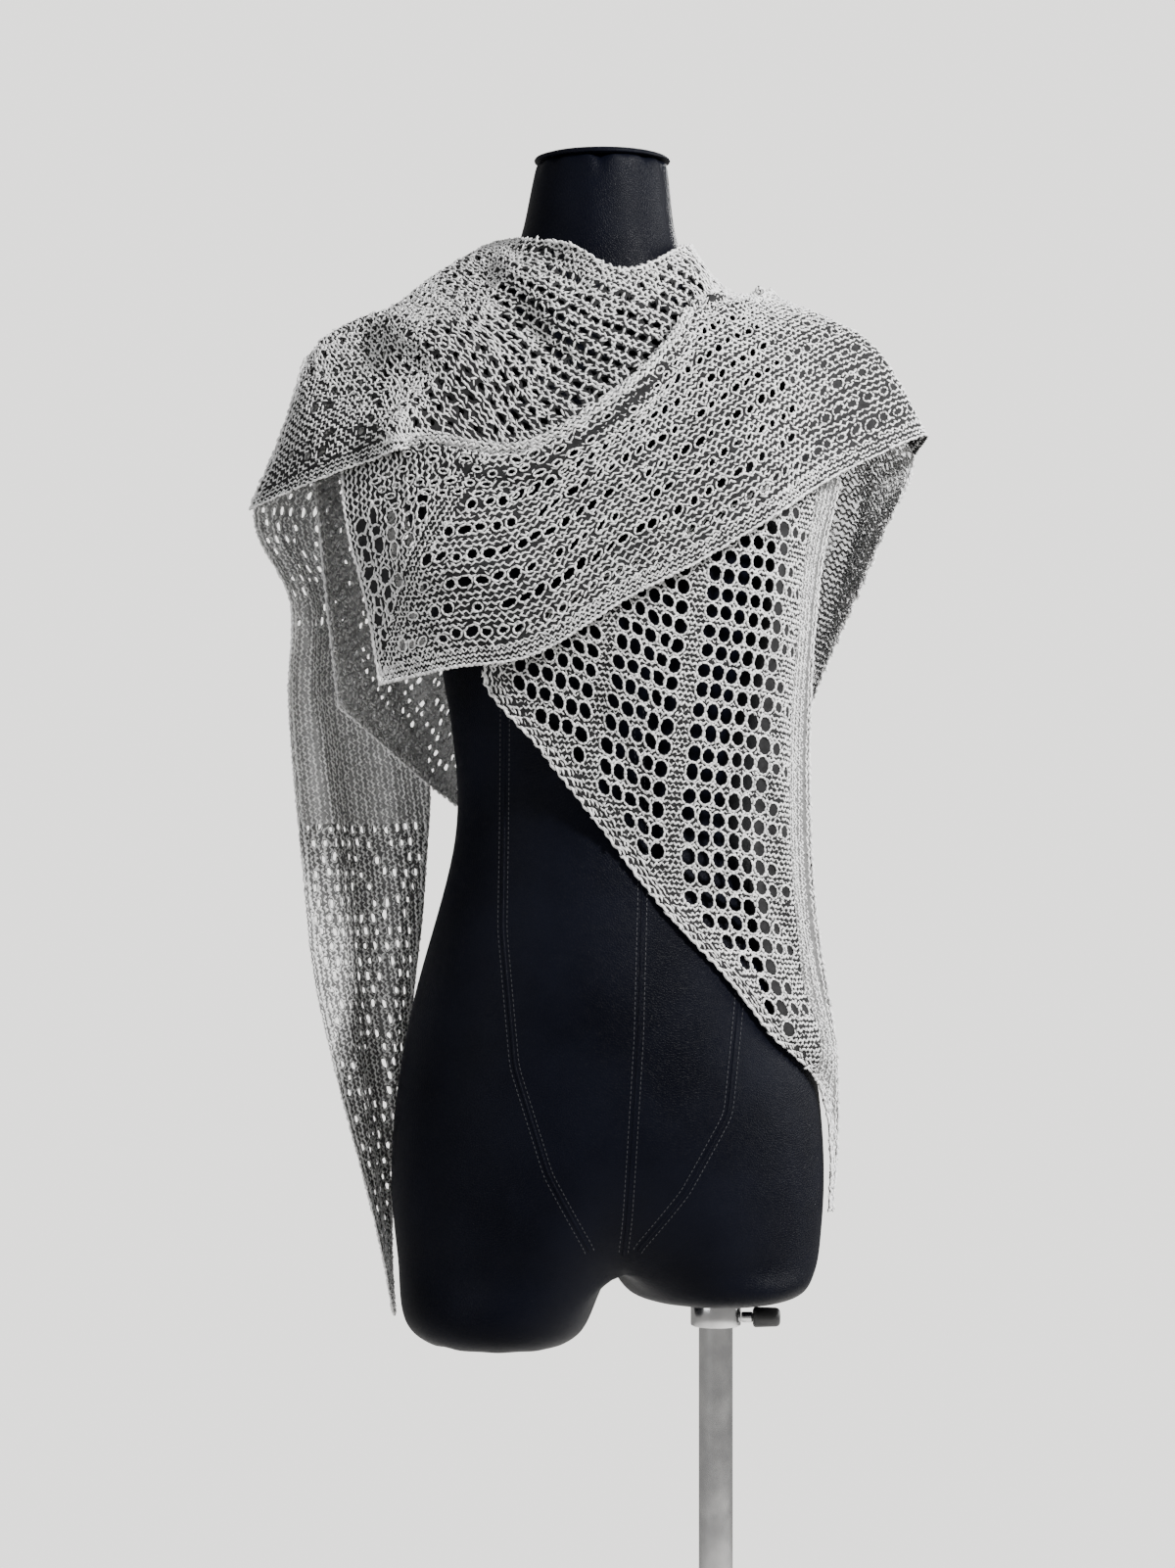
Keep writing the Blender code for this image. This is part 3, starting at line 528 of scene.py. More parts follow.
def keep_off_form(points, gap):
    """Pushes points level and outward until they are gap clear of the form."""
    shape = points.shape
    p = points.reshape(-1, 3)
    c, s = math.cos(FORM_YAW), math.sin(FORM_YAW)
    dx, dy = p[:, 0] - FORM_AXIS_X, p[:, 1] - FORM_AXIS_Y
    size = form_size(p[:, 2])
    slope = np.abs(form_size(p[:, 2] + 4.0) - form_size(p[:, 2] - 4.0))[:, 0] / 8.0
    across = dx * c + dy * s - size[:, 3]
    out = -dx * s + dy * c - size[:, 2]
    inside = np.hypot(across / size[:, 0], out / size[:, 1])
    reach = np.hypot(across, out)
    needed = reach / np.maximum(inside, 1e-6) + gap * np.sqrt(1 + slope**2)
    over = p[:, 2] < FORM[-1].height
    grow = np.where(over & (reach < needed), needed / np.maximum(reach, 1e-6), 1.0)
    across, out = across * grow + size[:, 3], out * grow + size[:, 2]
    moved = turn_with_form(np.column_stack((across, out, p[:, 2])))
    return moved.reshape(shape)


def normals_of(grid):
    """Unit normals of a grid of points, on the side that its rows and columns give."""
    along = np.gradient(grid, axis=0)
    across = np.gradient(grid, axis=1)
    n = np.cross(along, across)
    return n / np.maximum(np.linalg.norm(n, axis=2, keepdims=True), 1e-9)


def crease(grid, along, across, folds):
    """Adds soft ridges, or troughs where the height is negative, along straight paths."""
    u, v = np.meshgrid(along, across, indexing="ij")
    normal = normals_of(grid)
    lift = np.zeros_like(u)
    for f in folds:
        du, dv = f.end_along - f.start_along, f.end_across - f.start_across
        run = ((u - f.start_along) * du + (v - f.start_across) * dv) / (du * du + dv * dv)
        nearest = np.clip(run, 0, 1)
        off = np.hypot(u - f.start_along - nearest * du, v - f.start_across - nearest * dv)
        fade = smooth_step(1.0 - np.abs(nearest - 0.5) * 2 * 0.9)
        lift += f.height * fade * np.exp(-((off / f.width) ** 2))
    return grid + normal * lift[..., None]


def loft(sections, along, across):
    """A smooth sheet through sections, read at places along and across from 0 to 1."""
    knots = np.array(sections, float)
    down = spline_weights(knots.shape[0], along)
    over = spline_weights(knots.shape[1], across)
    return np.einsum("ur,rck,vc->uvk", down, knots, over)


def with_roll(row):
    """A front section with its rolled edge: lip, crest, front of the roll, and the valley."""
    crest, upper = np.array(row.crest, float), np.array(row.upper, float)
    down = (upper - crest) / np.linalg.norm(upper - crest)
    form_middle = np.array((FORM_AXIS_X, FORM_AXIS_Y, crest[2] - 40.0))
    out = crest - form_middle
    out -= down * np.dot(out, down)
    out /= np.linalg.norm(out)
    lip = crest - out * row.roll * ROLL_LIP_DEEP + down * row.roll * ROLL_LIP_LOW
    front = crest + out * row.roll * 0.8 + down * (3 + row.roll * ROLL_FRONT_LOW)
    valley = crest + down * (6 + row.roll * ROLL_VALLEY_LOW) - out * row.roll * 0.3
    return (lip, crest, front, valley, upper, row.belly, row.hem)


def lengths_along(line):
    """Distance from the start of a line of points to each of them."""
    steps = np.linalg.norm(np.diff(line, axis=0), axis=1)
    return np.concatenate(([0.0], np.cumsum(steps)))


def join_to(grid, border, reach):
    """Moves the first points across, where they lie within reach of a border, on to it but
    for the seam's gap, and eases the points next to them."""
    moved = grid.copy()
    for i, point in enumerate(grid[:, 0]):
        off = np.linalg.norm(border - point, axis=1)
        nearest = int(np.argmin(off))
        if off[nearest] > reach:
            continue
        inward = grid[i, 1] - point
        inward /= np.linalg.norm(inward)
        shift = border[nearest] + inward * SEAM_ROOM - point
        for j, share in enumerate(SEAM_EASE):
            moved[i, j] += shift * share
    return moved


def lay_over(points, under, gap):
    """Moves points towards the viewer until they are gap in front of the sheet under them."""
    flat = under.reshape(-1, 3)
    off = np.hypot(
        points[..., None, 0] - flat[:, 0],
        points[..., None, 2] - flat[:, 2],
    )
    nearest = np.argsort(off, axis=-1)[..., :3]
    close = np.take_along_axis(off, nearest, axis=-1)[..., 0] < LAY_REACH
    front = flat[nearest, 1].min(axis=-1) - gap
    moved = points.copy()
    down = np.where(close & (points[..., 1] > front), front - points[..., 1], 0.0)
    moved[..., 1] += down
    return moved


def hang_from(back, across):
    """The rear tail's top: a line laid on the back stretch, just behind the shoulder."""
    at = across * TAIL_TOP_ROWS
    low = np.minimum(at.astype(int), TAIL_TOP_ROWS - 1)
    share = (at - low)[:, None]
    outward = normals_of(back)[: TAIL_TOP_ROWS + 1, TAIL_TOP_COLUMN]
    line = back[: TAIL_TOP_ROWS + 1, TAIL_TOP_COLUMN]
    lift = line + outward * np.sign(outward[-1, 1]) * (CLOTH_WALL + TAIL_GAP)
    return lift[low] * (1 - share) + lift[low + 1] * share


# Front stretch: from the point at the viewer's left, over the chest, to the viewer's right
# shoulder. Each section runs from the rolled upper edge down to the hem, and roll is how
# far the rolled edge stands out there.
FrontSection = namedtuple("FrontSection", "roll crest upper belly hem")
FRONT_STRETCH = [
    FrontSection(1, (-271, -62, 1293), (-267, -72, 1243), (-252, -80, 1185), (-242, -85, 1126)),
    FrontSection(6, (-204, -106, 1303), (-200, -118, 1248), (-197, -120, 1193), (-190, -112, 1137)),
    FrontSection(8, (-141, -124, 1297), (-139, -133, 1247), (-135, -137, 1195), (-131, -130, 1146)),
    FrontSection(9, (-77, -120, 1333), (-75, -133, 1281), (-72, -139, 1229), (-68, -136, 1184)),
    FrontSection(9, (-41, -98, 1369), (-33, -119, 1316), (-25, -133, 1260), (-18, -133, 1210)),
    FrontSection(7, (-17, -66, 1402), (6, -98, 1350), (21, -114, 1297), (36, -116, 1243)),
    FrontSection(4, (23, -18, 1414), (47, -55, 1376), (67, -76, 1320), (81, -82, 1274)),
    FrontSection(1, (38, 25, 1420), (92, 10, 1395), (122, -5, 1368), (152, -2, 1311)),
    FrontSection(1, (40, 58, 1408), (90, 52, 1376), (122, 38, 1342), (149, 30, 1300)),
]
ROLL_LIP_DEEP = 1.4
ROLL_LIP_LOW = 1.6
ROLL_FRONT_LOW = 1.0
ROLL_VALLEY_LOW = 2.5

# Neck stretch: from the flap off the viewer's left shoulder, round the front of the neck,
# to the back of the neck at the viewer's right. Sections run from behind the shoulder's
# ridge to the lower edge.
NeckSection = namedtuple("NeckSection", "behind ridge middle lower")
NECK_STRETCH = [
    NeckSection((-299, 20, 1356), (-302, 6, 1368), (-318, -4, 1314), (-342, -10, 1256)),
    NeckSection((-281, 26, 1376), (-283, 6, 1388), (-294, -36, 1320), (-307, -46, 1267)),
    NeckSection((-239, 32, 1396), (-241, 8, 1405), (-250, -60, 1340), (-258, -82, 1282)),
    NeckSection((-198, 38, 1424), (-199, 12, 1436), (-200, -68, 1372), (-209, -97, 1294)),
    NeckSection((-156, 36, 1446), (-158, 6, 1453), (-150, -80, 1377), (-144, -102, 1284)),
    NeckSection((-114, -57, 1446), (-112, -59, 1440), (-101, -86, 1383), (-84, -104, 1312)),
    NeckSection((-67, -68, 1424), (-66, -72, 1417), (-56, -82, 1388), (-42, -88, 1350)),
    NeckSection((-24, -32, 1446), (-21, -38, 1440), (-14, -46, 1424), (-4, -52, 1398)),
    NeckSection((-18, 20, 1450), (-14, 18, 1444), (-2, 18, 1430), (12, 16, 1412)),
]
NECK_FREE_FROM = 4.3 / 8
NECK_UNDER_FROM = 3.2 / 8
FLAP_TO = 3.0 / 8

# Back stretch: the panel down the back, from the viewer's left round to the right shoulder.
BackSection = namedtuple("BackSection", "top blade waist hem")
BACK_STRETCH = [
    BackSection((-299, 22, 1355), (-296, 12, 1290), (-287, 2, 1200), (-277, -5, 1112)),
    BackSection((-281, 28, 1375), (-276, 34, 1310), (-268, 28, 1190), (-252, 14, 1090)),
    BackSection((-239, 34, 1395), (-240, 66, 1325), (-236, 58, 1180), (-219, 40, 1060)),
    BackSection((-198, 40, 1423), (-206, 84, 1355), (-202, 92, 1200), (-186, 76, 1034)),
    BackSection((-156, 40, 1445), (-165, 92, 1380), (-162, 112, 1230), (-150, 104, 1006)),
    BackSection((-84, 66, 1460), (-84, 98, 1390), (-80, 122, 1240), (-75, 112, 950)),
    BackSection((-30, 50, 1450), (-20, 92, 1385), (-10, 120, 1230), (-15, 112, 916)),
    BackSection((40, 60, 1407), (46, 92, 1350), (52, 104, 1220), (45, 88, 1030)),
    BackSection((90, 54, 1375), (98, 78, 1325), (99, 76, 1240), (76, 42, 1124)),
    BackSection((122, 40, 1341), (128, 56, 1305), (124, 46, 1262), (106, 26, 1194)),
    BackSection((149, 32, 1299), (148, 38, 1290), (144, 32, 1280), (137, 18, 1268)),
]

# Front tail: hangs from under the front stretch and runs out to a point on the hip.
# Sections run from the straight edge at the viewer's right to the slanting edge.
FrontTailSection = namedtuple("FrontTailSection", "right inner outer left")
FRONT_TAIL = [
    FrontTailSection((88, -42, 1275), (80, -58, 1277), (68, -72, 1279), (55, -84, 1280)),
    FrontTailSection((76, -30, 1219), (50, -80, 1224), (12, -108, 1229), (-26, -122, 1234)),
    FrontTailSection((70, -24, 1156), (38, -82, 1165), (-35, -120, 1174), (-115, -124, 1182)),
    FrontTailSection((68, -18, 1101), (32, -72, 1112), (-60, -114, 1124), (-169, -98, 1136)),
    FrontTailSection((68, -15, 1052), (35, -62, 1061), (-40, -95, 1070), (-129, -96, 1080)),
    FrontTailSection((70, -12, 1000), (40, -52, 1007), (-18, -80, 1014), (-82, -88, 1020)),
    FrontTailSection((75, -5, 948), (50, -40, 953), (8, -64, 958), (-40, -78, 962)),
    FrontTailSection((82, 2, 905), (66, -22, 909), (38, -48, 912), (0, -66, 915)),
    FrontTailSection((88, 8, 867), (80, -15, 869), (62, -36, 870), (36, -50, 872)),
    FrontTailSection((91, 18, 826), (88, 12, 827), (83, 6, 828), (76, -2, 828)),
    FrontTailSection((90, 18, 785), (88, 14, 785), (86, 9, 785), (84, 4, 785)),
    FrontTailSection((86, 12, 740), (85, 9, 740), (84, 6, 741), (83, 3, 742)),
]

# Rear tail: hangs free behind the hip at the viewer's left. Sections run from its outer edge.
RearTailSection = namedtuple("RearTailSection", "outer middle inner")
REAR_TAIL = [
    RearTailSection((-322, 12, 1312), (-306, 34, 1320), (-288, 46, 1322)),
    RearTailSection((-340, 6, 1257), (-312, 30, 1257), (-280, 46, 1257)),
    RearTailSection((-313, 6, 1192), (-293, 30, 1192), (-270, 46, 1192)),
    RearTailSection((-314, 6, 1127), (-288, 34, 1127), (-256, 54, 1127)),
    RearTailSection((-312, 6, 1080), (-274, 36, 1080), (-216, 72, 1080)),
    RearTailSection((-303, 6, 984), (-262, 32, 984), (-216, 60, 984)),
    RearTailSection((-295, 6, 912), (-260, 32, 912), (-223, 58, 912)),
    RearTailSection((-277, 8, 832), (-254, 34, 832), (-232, 60, 832)),
    RearTailSection((-254, 10, 746), (-247, 34, 746), (-240, 56, 746)),
    RearTailSection((-244, 12, 702), (-242, 28, 702), (-240, 42, 702)),
    RearTailSection((-237, 16, 662), (-237, 22, 661), (-237, 28, 662)),
]


# The largest creases of each stretch, as places from 0 to 1 along it and across it.
Fold = namedtuple("Fold", "start_along start_across end_along end_across width height")
FRONT_FOLDS = [
    Fold(0.10, 0.62, 0.62, 0.52, 0.035, 4.0),
    Fold(0.16, 0.50, 0.50, 0.44, 0.030, -3.5),
    Fold(0.30, 0.74, 0.80, 0.66, 0.040, 3.0),
    Fold(0.55, 0.90, 0.92, 0.82, 0.040, 3.0),
]
NECK_FOLDS = [
    Fold(0.06, 0.40, 0.36, 0.86, 0.050, 6.0),
    Fold(0.18, 0.36, 0.40, 0.66, 0.040, -4.0),
    Fold(0.30, 0.30, 0.62, 0.86, 0.040, 5.0),
    Fold(0.44, 0.30, 0.68, 0.72, 0.035, -3.5),
    Fold(0.52, 0.30, 0.76, 0.72, 0.035, 4.0),
]
BACK_FOLDS = [
    Fold(0.16, 0.20, 0.46, 0.46, 0.050, 7.0),
    Fold(0.84, 0.20, 0.54, 0.46, 0.050, 7.0),
    Fold(0.20, 0.42, 0.48, 0.66, 0.050, 7.0),
    Fold(0.80, 0.42, 0.56, 0.66, 0.050, 7.0),
    Fold(0.42, 0.60, 0.48, 0.98, 0.040, 6.0),
    Fold(0.62, 0.60, 0.60, 0.98, 0.040, -6.0),
]
REAR_FOLDS = [
    Fold(0.02, 0.28, 0.90, 0.24, 0.100, 6.0),
    Fold(0.10, 0.52, 0.92, 0.50, 0.100, -5.0),
    Fold(0.30, 0.80, 0.90, 0.78, 0.100, 6.0),
]
FRONT_TAIL_FOLDS = [
    Fold(0.10, 0.10, 0.80, 0.12, 0.060, 3.0),
    Fold(0.25, 0.42, 0.75, 0.30, 0.080, 2.5),
]


def worn(sections, cells, folds, gap):
    """A stretch of cloth as worn, as a grid of points with this many cells each way."""
    along, across = (np.linspace(0, 1, count + 1) for count in cells)
    grid = crease(loft(sections, along, across), along, across, folds)
    return keep_off_form(grid, gap + CLOTH_WALL / 2)


# Softer waves between the creases, where the cloth is thin enough to show them.
FRONT_WAVES = [
    Fold(-0.15, 0.30, 0.75, 0.30, 0.090, 11.0),
    Fold(0.35, 0.28, 1.05, 0.28, 0.090, 7.0),
    Fold(0.00, 0.50, 0.80, 0.50, 0.050, -4.0),
    Fold(0.04, 0.64, 0.55, 0.68, 0.050, 4.5),
    Fold(0.02, 0.78, 0.30, 0.80, 0.040, -4.0),
    Fold(0.50, 0.78, 0.92, 0.72, 0.050, -4.0),
]
NECK_WAVES = [
    Fold(0.10, 0.20, 0.44, 0.95, 0.035, 6.5),
    Fold(0.14, 0.18, 0.48, 0.92, 0.030, -5.5),
    Fold(0.40, 0.30, 0.66, 0.98, 0.035, 6.0),
    Fold(0.47, 0.30, 0.72, 0.98, 0.030, -5.0),
]
BACK_WAVES = [
    Fold(0.30, 0.10, 0.34, 0.90, 0.030, 4.0),
    Fold(0.52, 0.15, 0.52, 0.98, 0.030, 5.0),
    Fold(0.68, 0.20, 0.64, 0.90, 0.030, -4.0),
    Fold(0.12, 0.40, 0.22, 0.95, 0.025, 4.0),
    Fold(0.86, 0.30, 0.78, 0.95, 0.025, 4.0),
]
REAR_WAVES = [
    Fold(0.04, 0.66, 0.95, 0.64, 0.070, -4.0),
    Fold(0.04, 0.10, 0.60, 0.12, 0.070, -3.0),
]
TAIL_WAVES = [
    Fold(0.08, 0.75, 0.50, 0.80, 0.050, 3.0),
    Fold(0.12, 0.25, 0.70, 0.30, 0.050, -2.0),
]


def waved(grid, folds, gap):
    """Adds finer folds to a worn stretch and keeps it off the form."""
    finer = loft(grid, *(np.linspace(0, 1, 2 * count - 1) for count in grid.shape[:2]))
    along, across = (np.linspace(0, 1, count) for count in finer.shape[:2])
    return keep_off_form(crease(finer, along, across, folds), gap)


tail_grid = worn(FRONT_TAIL, (60, 24), FRONT_TAIL_FOLDS, CLOTH_OFF_FORM)
neck_grid = worn(NECK_STRETCH, (28, 10), NECK_FOLDS, NECK_OFF_FORM)
front_grid = worn([with_roll(row) for row in FRONT_STRETCH], (48, 30), FRONT_FOLDS, FRONT_OFF_FORM)
under_roll = neck_grid[int(len(neck_grid) * NECK_UNDER_FROM) :].reshape(-1, 3)
front_grid = lay_over(front_grid, np.concatenate((under_roll, tail_grid.reshape(-1, 3))), LAY_GAP)
flap = int(len(neck_grid) * FLAP_TO)
neck_grid[:flap] = lay_over(neck_grid[:flap], front_grid, LAY_GAP)
back_grid = worn(BACK_STRETCH, (26, 12), BACK_FOLDS, CLOTH_OFF_FORM)
shoulder = neck_grid[: int(len(neck_grid) * NECK_FREE_FROM), 0]
back_grid = join_to(back_grid, np.concatenate((shoulder, front_grid[-1])), SEAM_REACH)
back_grid = keep_off_form(back_grid, CLOTH_OFF_FORM + CLOTH_WALL / 2)
tail_top = hang_from(back_grid, np.linspace(0, 1, 9))
rear_sections = [(tail_top[0], tail_top[4], tail_top[-1])] + REAR_TAIL[1:]
rear_grid = worn(rear_sections, (30, 8), REAR_FOLDS, CLOTH_OFF_FORM)
rear_grid[0] = tail_top

tail_grid = waved(tail_grid, TAIL_WAVES, CLOTH_OFF_FORM)
front_grid = waved(front_grid, FRONT_WAVES, FRONT_WAVES_OFF_FORM)
neck_grid = waved(neck_grid, NECK_WAVES, NECK_WAVES_OFF_FORM)
back_grid = waved(back_grid, BACK_WAVES, CLOTH_OFF_FORM)
rear_grid = waved(rear_grid, REAR_WAVES, CLOTH_OFF_FORM)

READ_STEP = 2.0
FINE_CELL = 3.0


class Cloth:
    """A knitted stretch laid out flat, in millimetres: a runs along one of its lines, the
    first edge or the share line of the way in, and b in from the first edge. It gives the
    places and outward directions of the worn stretch."""

    def __init__(self, grid, line=0.0):
        sizes = [np.linalg.norm(np.diff(grid, axis=k), axis=2).sum(axis=k).max() for k in (0, 1)]
        weights = [
            spline_weights(count, np.linspace(0, 1, int(size / FINE_CELL) + 2))
            for count, size in zip(grid.shape, sizes)
        ]
        lines = np.einsum("ur,rck,vc->uvk", weights[0], grid, weights[1])
        turns = normals_of(lines)
        outward = lines[..., :2] - (FORM_AXIS_X, FORM_AXIS_Y)
        turns *= np.sign(np.sum(turns[..., :2] * outward))
        down = lengths_along(lines[:, int(line * (lines.shape[1] - 1))])
        self.length = down[-1]
        at = np.interp(np.arange(0, self.length + READ_STEP, READ_STEP), down, np.arange(len(lines)))
        low = np.minimum(at.astype(int), len(lines) - 2)
        share = (at - low)[:, None, None]
        lines = lines[low] * (1 - share) + lines[low + 1] * share
        turns = turns[low] * (1 - share) + turns[low + 1] * share
        runs = [lengths_along(line) for line in lines]
        self.width = np.array([run[-1] for run in runs])
        places = np.arange(0, self.width.max() + READ_STEP, READ_STEP)
        self.read_from = np.zeros((len(lines), len(places), 6))
        for i, run in enumerate(runs):
            for k in range(3):
                self.read_from[i, :, k] = np.interp(places, run, lines[i, :, k])
                self.read_from[i, :, k + 3] = np.interp(places, run, turns[i, :, k])

    def read(self, a, b):
        rows, columns = self.read_from.shape[:2]
        x = np.clip(a / READ_STEP, 0, rows - 1.001)
        y = np.clip(b / READ_STEP, 0, columns - 1.001)
        i, j = x.astype(int), y.astype(int)
        s, t = (x - i)[..., None], (y - j)[..., None]
        near = self.read_from[i, j] * (1 - s) + self.read_from[i + 1, j] * s
        far = self.read_from[i, j + 1] * (1 - s) + self.read_from[i + 1, j + 1] * s
        both = near * (1 - t) + far * t
        turn = both[..., 3:]
        return both[..., :3], turn / np.maximum(np.linalg.norm(turn, axis=-1, keepdims=True), 1e-9)

    def wide(self, a):
        return np.interp(a / READ_STEP, np.arange(len(self.width)), self.width)


# A gap in the lace: its middle, half sizes along and across its own length, and its slant.
Gap = namedtuple("Gap", "a b half_long half_short slant")

# How far a kind of gap strays as it is knitted by hand: its middle along and across, the
# least and greatest share of each half size, and its slant.
Stray = namedtuple("Stray", "a b long short slant")
chance = np.random.default_rng(11)


def hand_gap(a, b, half_long, half_short, slant, stray):
    """A gap where the pattern has it, a little astray."""
    return Gap(
        a + chance.normal(0, stray.a),
        b + chance.normal(0, stray.b),
        half_long * chance.uniform(*stray.long),
        half_short * chance.uniform(*stray.short),
        slant + chance.normal(0, stray.slant),
    )


def in_rows(rows, columns, first, step, shift):
    """Places of gaps: along each row, with every other row shifted, and from row to row."""
    return [
        (first[0] + column * step[0] + (row % 2) * shift, first[1] + row * step[1])
        for row in rows
        for column in columns
    ]


def depth_in(gap, a, b):
    """How far places are from a gap's middle: 1 is on its rim."""
    c, s = math.cos(gap.slant), math.sin(gap.slant)
    x, y = a - gap.a, b - gap.b
    return np.hypot((x * c + y * s) / gap.half_long, (y * c - x * s) / gap.half_short)


def nearest_gap(gaps, a, b):
    """For each place its least depth in any gap, and which gap that is."""
    depth, which = np.full(a.shape, 9.0), np.zeros(a.shape, int)
    for k, gap in enumerate(gaps):
        near = np.nonzero(np.maximum(np.abs(a - gap.a), np.abs(b - gap.b)) < gap.half_long * 2)[0]
        d = depth_in(gap, a[near], b[near])
        closer = d < depth[near]
        depth[near[closer]] = d[closer]
        which[near[closer]] = k
    return depth, which


GROUND_WALL = 0.4
RIM_REACH = 1.9


def ground(name, cloth, gaps, node, finish, cell=2.5, close=None, second_painted_finish=None):
    """The plain body of a stretch: an even grid with the gaps cut out, worn as the cloth is.
    Its finish is painted shade, the dark seen between the stitches. Where close picks out,
    the ground may have a second finish, a painted tone of its own for the light there."""
    sheet = bmesh.new()
    most = cloth.width.max()
    bmesh.ops.create_grid(
        sheet, x_segments=round(cloth.length / cell), y_segments=round(most / cell), size=1
    )
    flat = np.array([v.co[:2] for v in sheet.verts])
    a, b = (flat[:, 0] + 1) / 2 * cloth.length, (flat[:, 1] + 1) / 2 * most
    faces = np.array([[v.index for v in face.verts] for face in sheet.faces])
    mid_a, mid_b = a[faces].mean(axis=1), b[faces].mean(axis=1)
    depth, _ = nearest_gap(gaps, mid_a, mid_b)
    out = (mid_b > cloth.wide(mid_a)) | (depth < 1)
    sheet.faces.ensure_lookup_table()
    if close:
        for k in np.nonzero(close(mid_a, mid_b))[0]:
            sheet.faces[k].material_index = 1
    bmesh.ops.delete(sheet, geom=[sheet.faces[k] for k in np.nonzero(out)[0]], context="FACES")
    flat = np.array([v.co[:2] for v in sheet.verts])
    a, b = (flat[:, 0] + 1) / 2 * cloth.length, (flat[:, 1] + 1) / 2 * most
    rim = np.array([v.is_boundary for v in sheet.verts])
    depth, which = nearest_gap(gaps, a, b)
    for k in np.nonzero(rim & (depth < RIM_REACH))[0]:
        gap = gaps[which[k]]
        a[k] = gap.a + (a[k] - gap.a) / depth[k]
        b[k] = gap.b + (b[k] - gap.b) / depth[k]
    edge = cloth.wide(a)
    slanted = rim & (depth >= RIM_REACH) & (np.abs(b - edge) < cell * 1.5)
    b = np.where(slanted, edge, np.minimum(b, edge))
    points, _ = cloth.read(a, b)
    chart = sheet.loops.layers.uv.new("OFBake")
    for vertex, point, u, v in zip(sheet.verts, points * MM, a / cloth.length, b / most):
        vertex.co = point
        for loop in vertex.link_loops:
            loop[chart].uv = (u, v)
    bmesh.ops.remove_doubles(sheet, verts=sheet.verts[:], dist=0.00015)
    made = finish_piece(name, sheet, finish, node, 180.0)
    if close:
        made.data.materials.append(second_painted_finish)
    body = made.modifiers.new("body", "SOLIDIFY")
    body.thickness = GROUND_WALL * MM
    body.offset = 0
    return made


def pod(around, rings):
    """One bit of yarn as it shows between two crossings: points and triangles of a ball."""
    ball = bmesh.new()
    bmesh.ops.create_uvsphere(ball, u_segments=around, v_segments=rings, radius=1)
    bmesh.ops.triangulate(ball, faces=ball.faces[:])
    points = np.array([v.co for v in ball.verts])
    faces = np.array([[v.index for v in face.verts] for face in ball.faces])
    ball.free()
    return points, faces


# Yarn that is seen from both sides is round, and elsewhere it has its ridge outward.
ROUND_POD = pod(4, 3)
RIDGE_POD = pod(3, 3)

# Bits of yarn to lay on a stretch: middles, directions and half lengths, half widths, lifts.
Yarn = namedtuple("Yarn", "a b toward_a toward_b half_wide lift")

# Ways to knit: how far a stitch is from the next in its row, how far the rows are apart,
# how far each leg leans, its half length and half width, and how deep every other row lies.
Knit = namedtuple("Knit", "wide tall lean half thick sink")
GARTER = Knit(4.1, 3.7, 0.80, 2.20, 0.95, 0.35)
RIB = Knit(3.9, 3.5, 0.70, 2.10, 0.90, 0.45)
CHAIN = Knit(5.6, 4.25, 0.98, 3.10, 1.04, 0.15)
STRAND = Knit(6.2, 3.2, 1.22, 3.60, 1.05, 0.0)
COARSE = Knit(6.0, 5.2, 0.85, 3.20, 1.30, 0.4)
CORD = Knit(5.2, 4.6, 0.85, 2.90, 1.30, 0.0)


def joined(yarns):
    """Lots of yarn taken together."""
    return Yarn(*(np.concatenate(parts) for parts in zip(*yarns)))


def clear_of(yarn, gaps, least=1.06):
    """Leaves out each bit of yarn that would reach into a gap."""
    keep = np.ones(len(yarn.a), bool)
    for share in (-0.8, 0.0, 0.8):
        depth, _ = nearest_gap(gaps, yarn.a + yarn.toward_a * share, yarn.b + yarn.toward_b * share)
        keep &= depth > least
    return Yarn(*(values[keep] for values in yarn))


